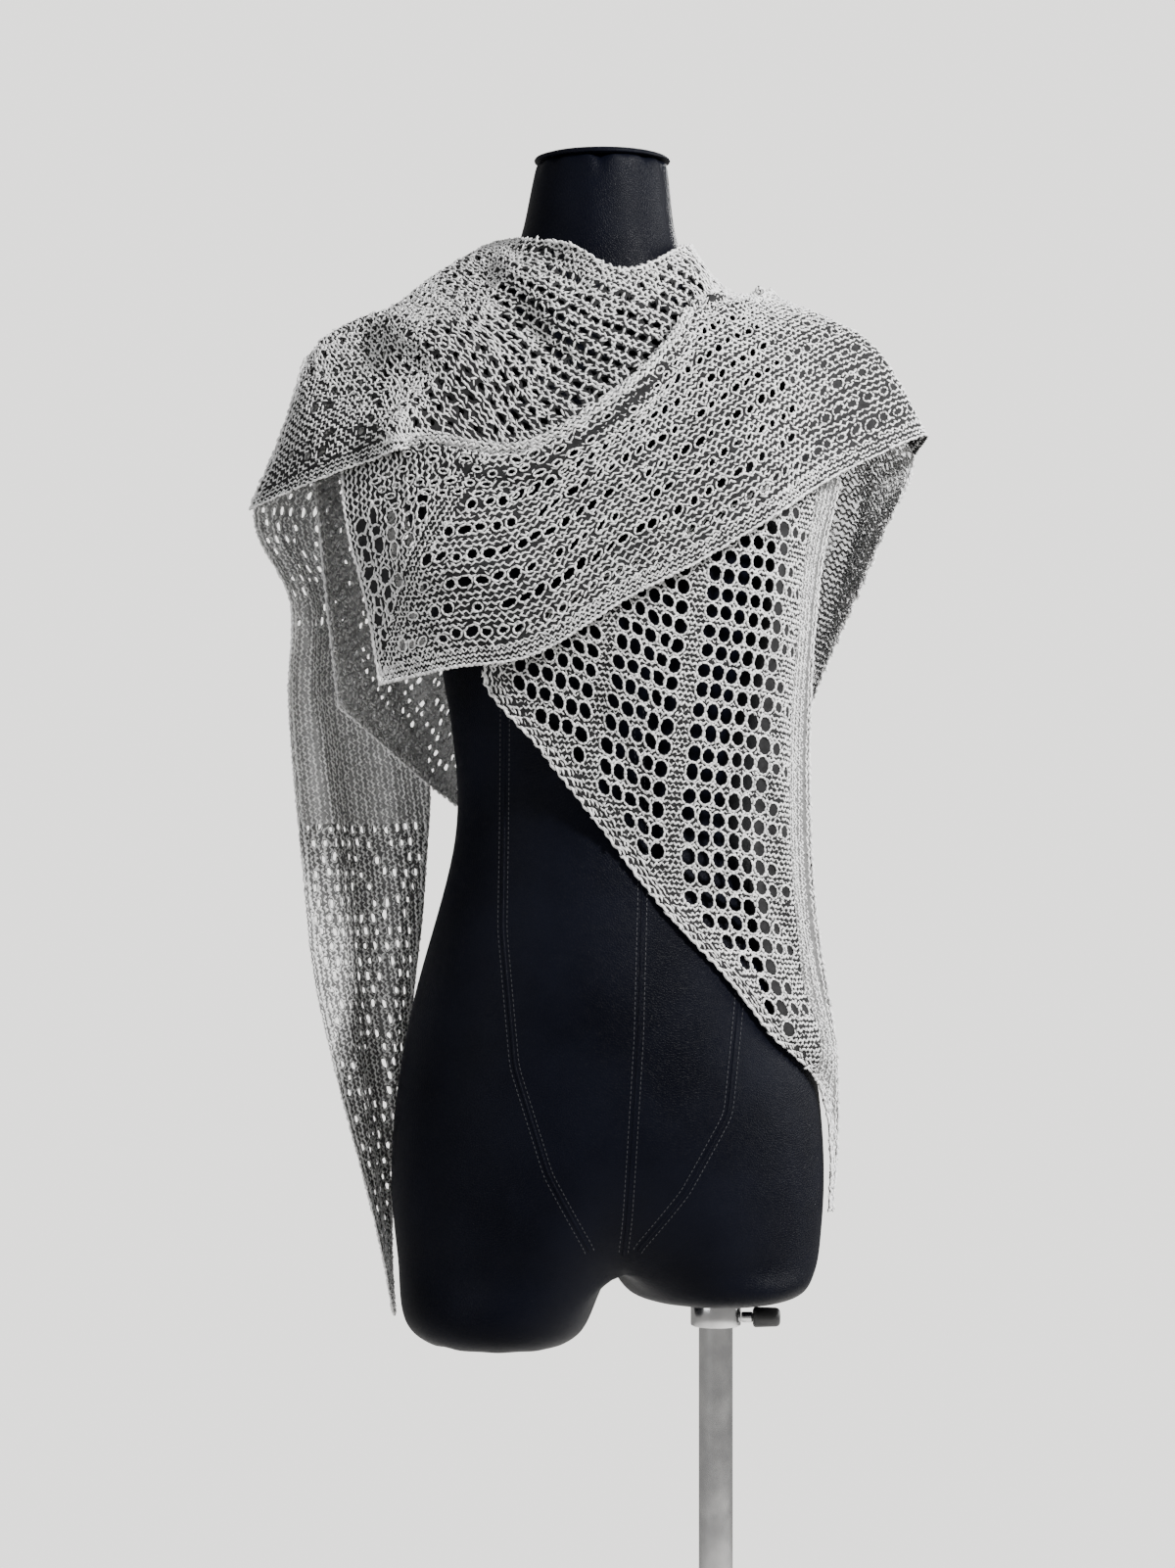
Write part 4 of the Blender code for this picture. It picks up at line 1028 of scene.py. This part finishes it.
def yarn_piece(name, cloth, yarn, finish, shape=ROUND_POD, middle_lift=0.25):
    """Lays every bit of yarn on the stretch, as one mesh."""
    pod_points, pod_faces = shape
    count = len(yarn.a)
    start, turn = cloth.read(yarn.a - yarn.toward_a, yarn.b - yarn.toward_b)
    end, _ = cloth.read(yarn.a + yarn.toward_a, yarn.b + yarn.toward_b)
    along = end - start
    half = np.hypot(yarn.toward_a, yarn.toward_b)[:, None]
    along /= np.maximum(np.linalg.norm(along, axis=1, keepdims=True), 1e-6)
    side = np.cross(turn, along)
    side /= np.maximum(np.linalg.norm(side, axis=1, keepdims=True), 1e-6)
    up = np.cross(along, side)
    # One end of each bit lies over its neighbour and the other under it.
    dip = chance.uniform(-0.34, 0.34, (count, 1))
    along = along + up * dip
    middle = (start + end) / 2 + turn * (yarn.lift[:, None] + middle_lift)
    points = (
        middle[:, None]
        + pod_points[None, :, 2:3] * (along * half)[:, None]
        + pod_points[None, :, 1:2] * (side * yarn.half_wide[:, None])[:, None]
        + pod_points[None, :, 0:1] * (up * yarn.half_wide[:, None])[:, None]
    )
    corners = pod_faces[None] + (np.arange(count) * len(pod_points))[:, None, None]
    made_data = bpy.data.meshes.new(name)
    made_data.vertices.add(count * len(pod_points))
    made_data.vertices.foreach_set("co", (points * MM).ravel())
    made_data.loops.add(corners.size)
    made_data.loops.foreach_set("vertex_index", corners.ravel())
    made_data.polygons.add(count * len(pod_faces))
    made_data.polygons.foreach_set("loop_start", np.arange(0, corners.size, 3))
    made_data.update(calc_edges=True)
    chart = made_data.uv_layers.new(name="OFBake")
    at_a = np.repeat(yarn.a / cloth.length, pod_faces.size)
    at_b = np.repeat(yarn.b / cloth.width.max(), pod_faces.size)
    spread = pod_points[pod_faces.ravel()][:, [2, 1]] * 0.004
    spots = np.column_stack((at_a, at_b)) + np.tile(spread, (count, 1))
    chart.data.foreach_set("uv", np.clip(spots, 0, 1).ravel())
    made_data.materials.append(finish)
    made_data.shade_smooth()
    made = bpy.data.objects.new(name, made_data)
    bpy.context.scene.collection.objects.link(made)
    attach(made, "root")
    return made


def legs(a, b, ahead_a, ahead_b, knit, lift=0.0):
    """The two legs of each stitch, given the way that its row runs."""
    made = []
    for side in (-1, 1):
        turn = np.arctan2(ahead_b, ahead_a) + math.pi / 2 - side * knit.lean
        turn = turn + chance.normal(0, 0.14, len(a))
        half = knit.half * chance.uniform(0.82, 1.16, len(a))
        made.append(
            Yarn(
                a + side * knit.wide / 4 * ahead_a,
                b + side * knit.wide / 4 * ahead_b,
                np.cos(turn) * half,
                np.sin(turn) * half,
                knit.thick * chance.uniform(0.82, 1.15, len(a)),
                lift + chance.uniform(-0.3, 0.3, len(a)),
            )
        )
    return joined(made)


CROWDED_FROM = 0.8
CROWDED_TO = 1.5
CROWDING = 0.35


def stitches(cloth, gaps, knit, slant, where=None, margin=2.0):
    """Rows of stitches over a stretch, or over the part of it that where picks out."""
    reach = math.hypot(cloth.length, cloth.width.max())
    i, j = np.meshgrid(
        *(np.arange(-int(reach / step), int(reach / step) + 1) for step in (knit.wide, knit.tall)),
        indexing="ij",
    )
    x, y = i * knit.wide + (j % 2) * knit.wide * 0.5, j * knit.tall
    c, s = math.cos(slant), math.sin(slant)
    a, b = (x * c - y * s).ravel(), (x * s + y * c).ravel()
    sunk = np.where(j % 2, -knit.sink, knit.sink * 0.4).ravel()
    inside = (a > margin) & (a < cloth.length - margin) & (b > margin) & (b < cloth.wide(a) - margin)
    if where:
        inside &= where(a, b)
    a, b, sunk = a[inside], b[inside], sunk[inside]
    a = a + chance.normal(0, knit.wide * 0.09, len(a))
    b = b + chance.normal(0, knit.tall * 0.09, len(b))
    if gaps:
        # Rows bend round a gap, so the stitches beside it are crowded off its rim.
        depth, which = nearest_gap(gaps, a, b)
        middles = np.array([(gap.a, gap.b) for gap in gaps])[which]
        beside = (depth < CROWDED_TO) & (depth > CROWDED_FROM)
        push = np.where(beside, CROWDED_TO / depth * CROWDING + 1 - CROWDING, 1.0)
        a = middles[:, 0] + (a - middles[:, 0]) * push
        b = middles[:, 1] + (b - middles[:, 1]) * push
    return clear_of(legs(a, b, np.full(len(a), c), np.full(len(a), s), knit, sunk), gaps)


EDGE_INSET = 0.4
EDGE_PACKING = 0.92
CAST_OFF_LEAN = 1.1


def border(cloth, side, rows, knit=GARTER, raised=0.0):
    """Rows of plain stitches beside an edge: near, far, start or end. The outermost row is
    the thicker cast-off chain."""
    made = []
    for row in range(rows):
        inset = EDGE_INSET + row * knit.tall * EDGE_PACKING
        if side in ("near", "far"):
            a = np.arange(knit.wide / 2, cloth.length, knit.wide)
            b = np.full(len(a), inset) if side == "near" else cloth.wide(a) - inset
            fits = cloth.wide(a) > inset * 1.6
        else:
            at = inset if side == "start" else cloth.length - inset
            b = np.arange(knit.wide / 2, float(cloth.wide(at)), knit.wide)
            a = np.full(len(b), at)
            fits = np.ones(len(b), bool)
        if fits.sum() < 3:
            continue
        ahead_a, ahead_b = np.gradient(a), np.gradient(b)
        size = np.maximum(np.hypot(ahead_a, ahead_b), 1e-6)
        chain = knit._replace(thick=knit.thick * 1.35, lean=CAST_OFF_LEAN, half=knit.half * 1.2)
        kind = knit if row else chain
        row_a, row_b = a + chance.normal(0, 0.3, len(a)), b + chance.normal(0, 0.35, len(b))
        lift = raised + (0.6 if row == 0 else (-knit.sink * 0.4 if row % 2 else 0.2))
        made.append(
            legs(*(v[fits] for v in (row_a, row_b, ahead_a / size, ahead_b / size)), kind, lift)
        )
    return joined(made)


def cord_row(cloth, line, knit, raised):
    """A row of thick stitches over the whole length, along a line of places."""
    a = np.arange(knit.wide / 2, cloth.length, knit.wide)
    b = line(a)
    ahead_a, ahead_b = np.gradient(a), np.gradient(b)
    size = np.hypot(ahead_a, ahead_b)
    return legs(a, b, ahead_a / size, ahead_b / size, knit, raised)


RIM_OVERLAP = 0.66


def rims(gaps, thick=1.05, bits=10, out=0.8):
    """The yarn round each gap, as bits that overlap end to end."""
    parts = []
    for gap in gaps:
        turn = (np.arange(bits) + chance.uniform(0, 1)) * 2 * math.pi / bits
        long, short = gap.half_long + out, gap.half_short + out
        x, y = long * np.cos(turn), short * np.sin(turn)
        dx, dy = -long * np.sin(turn), short * np.cos(turn)
        c, s = math.cos(gap.slant), math.sin(gap.slant)
        size = np.hypot(dx, dy)
        half = size * 2 * math.pi / bits * RIM_OVERLAP
        ahead_a, ahead_b = (dx * c - dy * s) / size, (dx * s + dy * c) / size
        parts.append(
            Yarn(
                gap.a + x * c - y * s, gap.b + x * s + y * c, ahead_a * half, ahead_b * half,
                thick * chance.uniform(0.85, 1.15, bits), 0.15 + chance.uniform(-0.3, 0.35, bits),
            )
        )
    return joined(parts)


FLECK = 0.4


def melange(name, dark, light, lets_through=0.0):
    """Yarn spun of light and darker grey fibres, quite matt. Light goes a little way in."""
    made = Recipe(
        name, Roughness=0.92, Specular_IOR_Level=0.25, Subsurface_Weight=lets_through,
        Subsurface_Radius=(1.0, 1.0, 1.0), Subsurface_Scale=0.004,
    )
    patches = made.noise(190.0, 2.0)
    fibres = made.noise(1900.0, 2.0)
    tone = patches * (1 - FLECK) + fibres * FLECK
    made.shows(
        Base_Color=made.tones(tone, (0.36, dark), (0.62, light)),
        Normal=made.bump(fibres, 0.35, 0.0003),
    )
    return made.finish


yarn_finish = melange("light grey yarn", (0.56, 0.56, 0.565), (0.92, 0.92, 0.915))
# Near black: painted shade in the gaps between the stitches, where the black form behind also shows through.
painted_shade_finish = melange("painted shade between the stitches", (0.007, 0.007, 0.0075), (0.018, 0.018, 0.019))
# Mid grey: painted shade between the stitches of the front tail's ribbed band and of the rear tail's lower
# part.
painted_mid_shade_finish = melange("painted mid-grey shade between the stitches", (0.09, 0.09, 0.09), (0.17, 0.17, 0.17))
# Lighter grey: painted shade between the stitches of the rear tail, which hangs free with the pale backdrop
# behind it.
painted_rear_shade_finish = melange("painted shade in the rear tail's knit", (0.22, 0.22, 0.22), (0.36, 0.36, 0.36))
# Dark grey: painted shade between the stitches of the back stretch.
painted_back_shade_finish = melange("painted shade in the back's knit", (0.24, 0.24, 0.24), (0.38, 0.38, 0.38), 0.4)
# Pale: painted light on the back's inner face at the right shoulder, as if the lamps shone through the lace
# there.
painted_light_wedge_finish = melange("painted light through the shoulder's knit", (0.64, 0.64, 0.64), (0.88, 0.88, 0.88), 0.9)
# A lighter copy of the yarn: painted light for the inner face at the shoulder, which faces away from the
# lamps.
painted_light_yarn_finish = melange(
    "yarn inside the shoulder with painted light", (0.66, 0.66, 0.665), (0.97, 0.97, 0.965), 0.9
)
back_yarn_finish = melange(
    "light grey yarn of the back", (0.50, 0.50, 0.505), (0.90, 0.90, 0.895), 0.5
)

# The front tail: a big-eyelet panel that hangs to a point on the hip. Its straight edge, at
# the viewer's right, is a ribbed band, and its slanting edge a band of plain knitting.
EYELET_ROW = 14.4
EYELET_COLUMN = 11.4
EYELET_COLUMNS = 28
EYELET_LEAN = 0.05
FIRST_EYELET = 4.8
NARROW_COLUMN = 9.9
NARROW_LEAN = 0.24
RIB_BAND = 42.0
RIB_EDGE = 8.0
EDGE_BAND = 14.0
SOLID_COLUMNS = (8, 14)
WIDE_COLUMNS = 9
SMALL_COLUMNS = 2
SMALL_SHARE = 0.75
LEAST_ROOM = 3.6
TAIL_STRAY = Stray(0.5, 0.35, (0.86, 1.06), (0.88, 1.05), 0.14)
tail = Cloth(tail_grid)
tail_gaps = []
for row in range(int(tail.length / EYELET_ROW) + 7):
    for column in range(EYELET_COLUMNS):
        past_wide = max(0, column - WIDE_COLUMNS) * NARROW_COLUMN
        b = RIB_BAND + min(column, WIDE_COLUMNS) * EYELET_COLUMN + past_wide
        a = row * EYELET_ROW + FIRST_EYELET - (b - RIB_BAND) * EYELET_LEAN - past_wide * NARROW_LEAN
        if a < 4 or a > tail.length - 12:
            continue
        room = tail.wide(np.array([a - 5, a, a + 5])).min() - EDGE_BAND - b
        partial = (column == 0 and row % 3 != 0) or (column == 1 and row % 3 == 1)
        if column in SOLID_COLUMNS or partial or room < LEAST_ROOM:
            continue
        half_long, half_short, slant = (5.8, 3.6, -0.5) if past_wide else (5.5, 4.75, -0.1)
        share = SMALL_SHARE if column < SMALL_COLUMNS else 1
        tail_gaps.append(hand_gap(a, b, half_long * share, half_short * share, slant, TAIL_STRAY))

# Beside the ribs the eyelets are nearly drawn shut, so these are hollows in the sheet.
SHUT_COLUMNS = 2.5
open_gaps = [gap for gap in tail_gaps if gap.b > RIB_BAND + EYELET_COLUMN * SHUT_COLUMNS]
tail_ground = ground(
    "front_tail_ground", tail, open_gaps, "front_tail", painted_shade_finish,
    close=lambda a, b: b < RIB_BAND - 10, second_painted_finish=painted_mid_shade_finish,
)
tail_yarn = joined(
    [
        stitches(
            tail, tail_gaps, RIB, 0.0, lambda a, b: (b > RIB_EDGE) & (b < RIB_BAND - RIB_EDGE)
        ),
        stitches(
            tail, tail_gaps, GARTER, math.pi / 2,
            lambda a, b: (b >= RIB_BAND - RIB_EDGE) & (b < tail.wide(a) - EDGE_BAND),
        ),
        rims(tail_gaps),
        border(tail, "near", 2, CHAIN),
        border(tail, "far", 5, STRAND._replace(tall=3.4, thick=0.95), -0.3),
    ]
)
tail_lace = yarn_piece("front_tail_yarn", tail, tail_yarn, yarn_finish, RIDGE_POD)

# The front stretch: crosses the chest from a point at the viewer's left to the right
# shoulder. Its upper edge rolls over, and rows of eyelets run beside its lower edge. They
# turn a corner at a plain mitre that starts from the lower left point.
MITRE_SLOPE = 1.35
MITRE_HALF = 10.0
ROLL_BAND = 62.0
front = Cloth(front_grid[:, ::-1], 0.4)


def past_mitre(a, b):
    """How far places are to the left of the mitre's middle line. Less than 0 is right."""
    return (b - (a - 4) * MITRE_SLOPE) / math.hypot(1, MITRE_SLOPE)


FRONT_STRAY = Stray(0.8, 0.7, (0.6, 1.15), (0.6, 1.15), 0.25)
SLIT_STRAY = Stray(1, 0.6, (0.7, 1.1), (0.8, 1.2), 0.15)
straight_places = in_rows(range(8), range(44), (12, 23), (11.4, 18.5), 5.7)
turned_places = in_rows(range(8), range(44), (14, 13), (11.0, 14.5), 5.5)
front_gaps = []
for straight, (turned_b, turned_a) in zip(straight_places, turned_places):
    for turned_corner, (a, b) in ((False, straight), (True, (turned_a, turned_b))):
        past = float(past_mitre(a, b))
        on_side = past > MITRE_HALF if turned_corner else past < -MITRE_HALF
        if not on_side or a > front.length - 14 or b > float(front.wide(a)) - ROLL_BAND:
            continue
        if chance.uniform() < 0.1:
            continue
        large = 1.55 if turned_corner else (1.2 if a < 190 else 0.98)
        slant = 1.4 if turned_corner else 0.25
        front_gaps.append(hand_gap(a, b, 3.9 * large, 2.8 * large, slant, FRONT_STRAY))
for a, up in in_rows(range(6), range(40), (30, 20), (12.8, 8.4), 6.0):
    if a > front.length - 16 or chance.uniform() < 0.3:
        continue
    front_gaps.append(hand_gap(a, float(front.wide(a)) - up, 3.6, 1.4, 0.0, SLIT_STRAY))
# Near both ends the lace is pulled shut, and its gaps are hollows in the sheet.
SHUT_START = 34.0
SHUT_END = 130.0
open_gaps = [gap for gap in front_gaps if SHUT_START < gap.a < front.length - SHUT_END]
front_ground = ground("front_ground", front, open_gaps, "front_stretch", painted_shade_finish, 3.0)

# The upper edge is rolled into a cord along the crest. Under it a strip is left bare, so that the near-black
# ground paints the cord's shadow there.
CORD_WIDE = 9.0
SHADOW_STRIP = 2.2
FOLD_LOW = 30.0
FOLD_END = 340.0
FOLD_HALF = 3.6
ROLL_HALF = 6.0
crest_of_row = smoothed(front.read_from[:, :, 2].argmax(axis=1) * READ_STEP, 10)


def crest_at(a):
    """How far the rolled edge's crest is from the hem."""
    return np.interp(a / READ_STEP, np.arange(len(crest_of_row)), crest_of_row)


def drawn_in(yarn):
    """Thins and sinks the yarn along the fold under the roll, where the cloth is drawn in."""
    under = crest_at(yarn.a) - yarn.b
    length = smooth_step((yarn.a - 20) / 60) * smooth_step((FOLD_END - yarn.a) / 90)
    fold = np.exp(-(((under - FOLD_LOW) / FOLD_HALF) ** 2)) * length
    roll = np.exp(-(((under - FOLD_LOW * 0.55) / ROLL_HALF) ** 2)) * length
    return yarn._replace(
        half_wide=yarn.half_wide * (1 - 0.42 * fold + 0.2 * roll),
        lift=yarn.lift - 0.8 * fold + 0.5 * roll,
    )


def below_cord(a, b):
    """Where the roll is plain: under the cord's strip of painted shadow, or behind the crest."""
    under = crest_at(a) - b
    return (under > CORD_WIDE + SHADOW_STRIP) | (under < -2.0)


front_yarn = joined(
    [
        drawn_in(
            stitches(
                front, front_gaps, CHAIN, 0.0,
                lambda a, b: (b > 11) & below_cord(a, b) & (past_mitre(a, b) < -MITRE_HALF + 2),
            )
        ),
        drawn_in(
            stitches(
                front, front_gaps, GARTER, 0.9,
                lambda a, b: below_cord(a, b) & (np.abs(past_mitre(a, b)) < MITRE_HALF - 1),
            )
        ),
        stitches(
            front, front_gaps, CHAIN, math.pi / 2,
            lambda a, b: (a > 8) & below_cord(a, b) & (past_mitre(a, b) > MITRE_HALF - 2),
        ),
        rims(front_gaps, 0.95, 8, 0.7),
        border(front, "near", 4, GARTER),
        *(
            cord_row(front, lambda a: crest_at(a) - CORD_WIDE * down, CORD, raised)
            for down, raised in ((0.15, 1.0), (0.5, 2.4), (0.85, 1.2))
        ),
        border(front, "start", 2, CHAIN),
        border(front, "end", 1),
    ]
)
front_lace = yarn_piece("front_yarn", front, front_yarn, yarn_finish, RIDGE_POD)

# The neck stretch: winds round the neck from behind and ends in a flap over the viewer's
# left shoulder. Its lace runs on the slant, in rows of slits between twisted strands.
NECK_SLANT = math.radians(-54)
NECK_ROW = 3 * STRAND.tall
NECK_COLUMN = 12.4
FLAP_LONG = 120.0
FLAP_LEAN = 0.9
NECK_STRAY = Stray(0.4, 0.4, (0.8, 1.1), (0.75, 1.15), 0.07)
neck_ahead = (math.cos(NECK_SLANT), math.sin(NECK_SLANT))
neck = Cloth(neck_grid[:, ::-1], 0.4)
neck_gaps = []
rungs = []
for x, y in in_rows(range(-50, 50), range(-50, 50), (0, 0), (NECK_COLUMN, NECK_ROW), 4.0):
    a = x * neck_ahead[0] - y * neck_ahead[1]
    b = x * neck_ahead[1] + y * neck_ahead[0]
    if not (12 < a < neck.length - 12 and 16 < b < float(neck.wide(a)) - 12):
        continue
    on_flap = a + b * FLAP_LEAN < FLAP_LONG
    if on_flap and chance.uniform() < 0.75:
        continue
    if not on_flap:
        rungs.append([at - NECK_COLUMN / 2 * ahead for at, ahead in zip((a, b), neck_ahead)])
    slack = not on_flap and a > 190 and b < float(neck.wide(a)) * 0.62
    if chance.uniform() < (0.06 if slack else 0.2):
        continue
    size = 1.0 if slack or on_flap else 0.68
    half_long, half_short = (3.4, 2.8) if on_flap else (5.2, 1.6)
    neck_gaps.append(
        hand_gap(a, b, half_long * size, half_short * size, NECK_SLANT, NECK_STRAY)
    )
rungs = np.array(rungs)
across_row = np.full(len(rungs), NECK_SLANT + math.pi / 2) + chance.normal(0, 0.25, len(rungs))
rung_yarn = Yarn(
    rungs[:, 0], rungs[:, 1], np.cos(across_row) * 2.7, np.sin(across_row) * 2.7,
    np.full(len(rungs), 1.25), np.full(len(rungs), 0.5),
)
neck_ground = ground("neck_ground", neck, neck_gaps, "neck_stretch", painted_shade_finish, 2.4)
neck_yarn = joined(
    [
        stitches(
            neck, neck_gaps, STRAND, NECK_SLANT, lambda a, b: (a + b * FLAP_LEAN >= FLAP_LONG) & (b > 6),
        ),
        stitches(
            neck, neck_gaps, CHAIN._replace(tall=3.9, sink=0.15), NECK_SLANT + 0.25,
            lambda a, b: (a + b * FLAP_LEAN < FLAP_LONG) & (b > 14),
        ),
        clear_of(rung_yarn, neck_gaps, 0.9),
        border(neck, "near", 4, GARTER),
        border(neck, "far", 1, CHAIN),
        border(neck, "start", 2, CHAIN),
        border(neck, "end", 1),
    ]
)
neck_lace = yarn_piece("neck_yarn", neck, neck_yarn, yarn_finish, RIDGE_POD)

# The back stretch: the whole panel down the back, from shoulder to shoulder, to a point. It
# has small eyelets behind the flap, large ones down the middle, and is knitted plain and
# loosely at the viewer's right shoulder, where its inner face is seen beside the front tail.
SHOULDER_PART = 150.0
INNER_FACE = (110.0, 250.0)
EYELETS_END = 150.0
OPEN_PART = 165.0
SMALL_STRAY = Stray(1.0, 0.6, (0.7, 1.15), (0.8, 1.2), 0.3)
LARGE_STRAY = Stray(0.6, 0.6, (0.85, 1.1), (0.85, 1.1), 0.2)
back = Cloth(back_grid, 0.35)
back_gaps = []
for a, b in in_rows(range(60), range(20), (12, 16), (9.6, 8.6), 4.8):
    if a > OPEN_PART or not float(back.wide(a)) * 0.3 < b < float(back.wide(a)) - 10:
        continue
    if chance.uniform() < 0.35:
        continue
    back_gaps.append(hand_gap(a, b, 2.9, 1.9, 0.3, SMALL_STRAY))
# Every sixth row has no eyelets.
large_rows = [row for row in range(30) if row % 6 != 5]
for a, b in in_rows(large_rows, range(50), (14, 22), (14.5, 17.5), 7.25):
    inner = OPEN_PART < a < back.length - EYELETS_END
    if not inner or b > float(back.wide(a)) - 20:
        continue
    back_gaps.append(hand_gap(a, b, 4.6, 3.9, 0.0, LARGE_STRAY))
# Over the shoulder part the ground takes the pale finish, painted light on the inner face that the lamps
# don't reach.
back_ground = ground(
    "back_ground", back, back_gaps, "back_stretch", painted_back_shade_finish, 3.5,
    close=lambda a, b: a > back.length - SHOULDER_PART, second_painted_finish=painted_light_wedge_finish,
)
# At the shoulder both faces of the cloth are seen, so it has stitches on each.
shoulder_knit = stitches(
    back, back_gaps, COARSE._replace(wide=5.4, tall=4.6, half=2.8, thick=1.2), 0.0,
    lambda a, b: a >= back.length - SHOULDER_PART,
)
back_yarn = joined(
    [
        stitches(back, back_gaps, COARSE, 0.0, lambda a, b: a < back.length - SHOULDER_PART),
        shoulder_knit,
        rims(back_gaps, 1.2, 6),
        border(back, "near", 1),
        border(back, "far", 3, COARSE),
        border(back, "start", 2, COARSE),
        border(back, "end", 2, COARSE),
    ]
)
back_lace = yarn_piece("back_yarn", back, back_yarn, back_yarn_finish, RIDGE_POD, 0.0)
# The stitches on the inner face take the lighter copy of the yarn, painted light where no lamp reaches.
seen_inside = (shoulder_knit.a > back.length - INNER_FACE[0]) & (shoulder_knit.b < INNER_FACE[1])
inner_knit = Yarn(*(values[seen_inside] for values in shoulder_knit))
inner_knit = inner_knit._replace(lift=inner_knit.lift - 1.1, half_wide=inner_knit.half_wide * 0.85)
shoulder_lace = yarn_piece("shoulder_yarn", back, inner_knit, painted_light_yarn_finish, ROUND_POD, 0.0)

# The rear tail: the other end of the triangle, thrown back over the shoulder, with a band
# of plain knitting between two stretches of upright slits.
PLAIN_BAND = (190, 330)
REAR_STRAY = Stray(0.8, 0.5, (0.7, 1.15), (0.8, 1.2), 0.08)
rear = Cloth(rear_grid)
rear_gaps = []
for b, a in in_rows(range(80), range(20), (8, 26), (8.8, 11.0), 3.0):
    plain = PLAIN_BAND[0] < a < PLAIN_BAND[1]
    if plain or a > rear.length - 14 or b > float(rear.wide(a)) - 6 or chance.uniform() < 0.2:
        continue
    rear_gaps.append(hand_gap(a, b, 3.6, 1.35, 0.0, REAR_STRAY))
rear_ground = ground(
    "rear_tail_ground", rear, rear_gaps, "rear_tail", painted_rear_shade_finish, 2.4,
    close=lambda a, b: a > PLAIN_BAND[1], second_painted_finish=painted_mid_shade_finish,
)
rear_yarn = joined(
    [
        stitches(rear, rear_gaps, GARTER._replace(wide=4.35, tall=3.9), 0.0),
        rims(rear_gaps, 0.9, 6, 0.7),
        border(rear, "near", 2),
        border(rear, "far", 2),
    ]
)
rear_lace = yarn_piece("rear_tail_yarn", rear, rear_yarn, yarn_finish, ROUND_POD, 0.0)
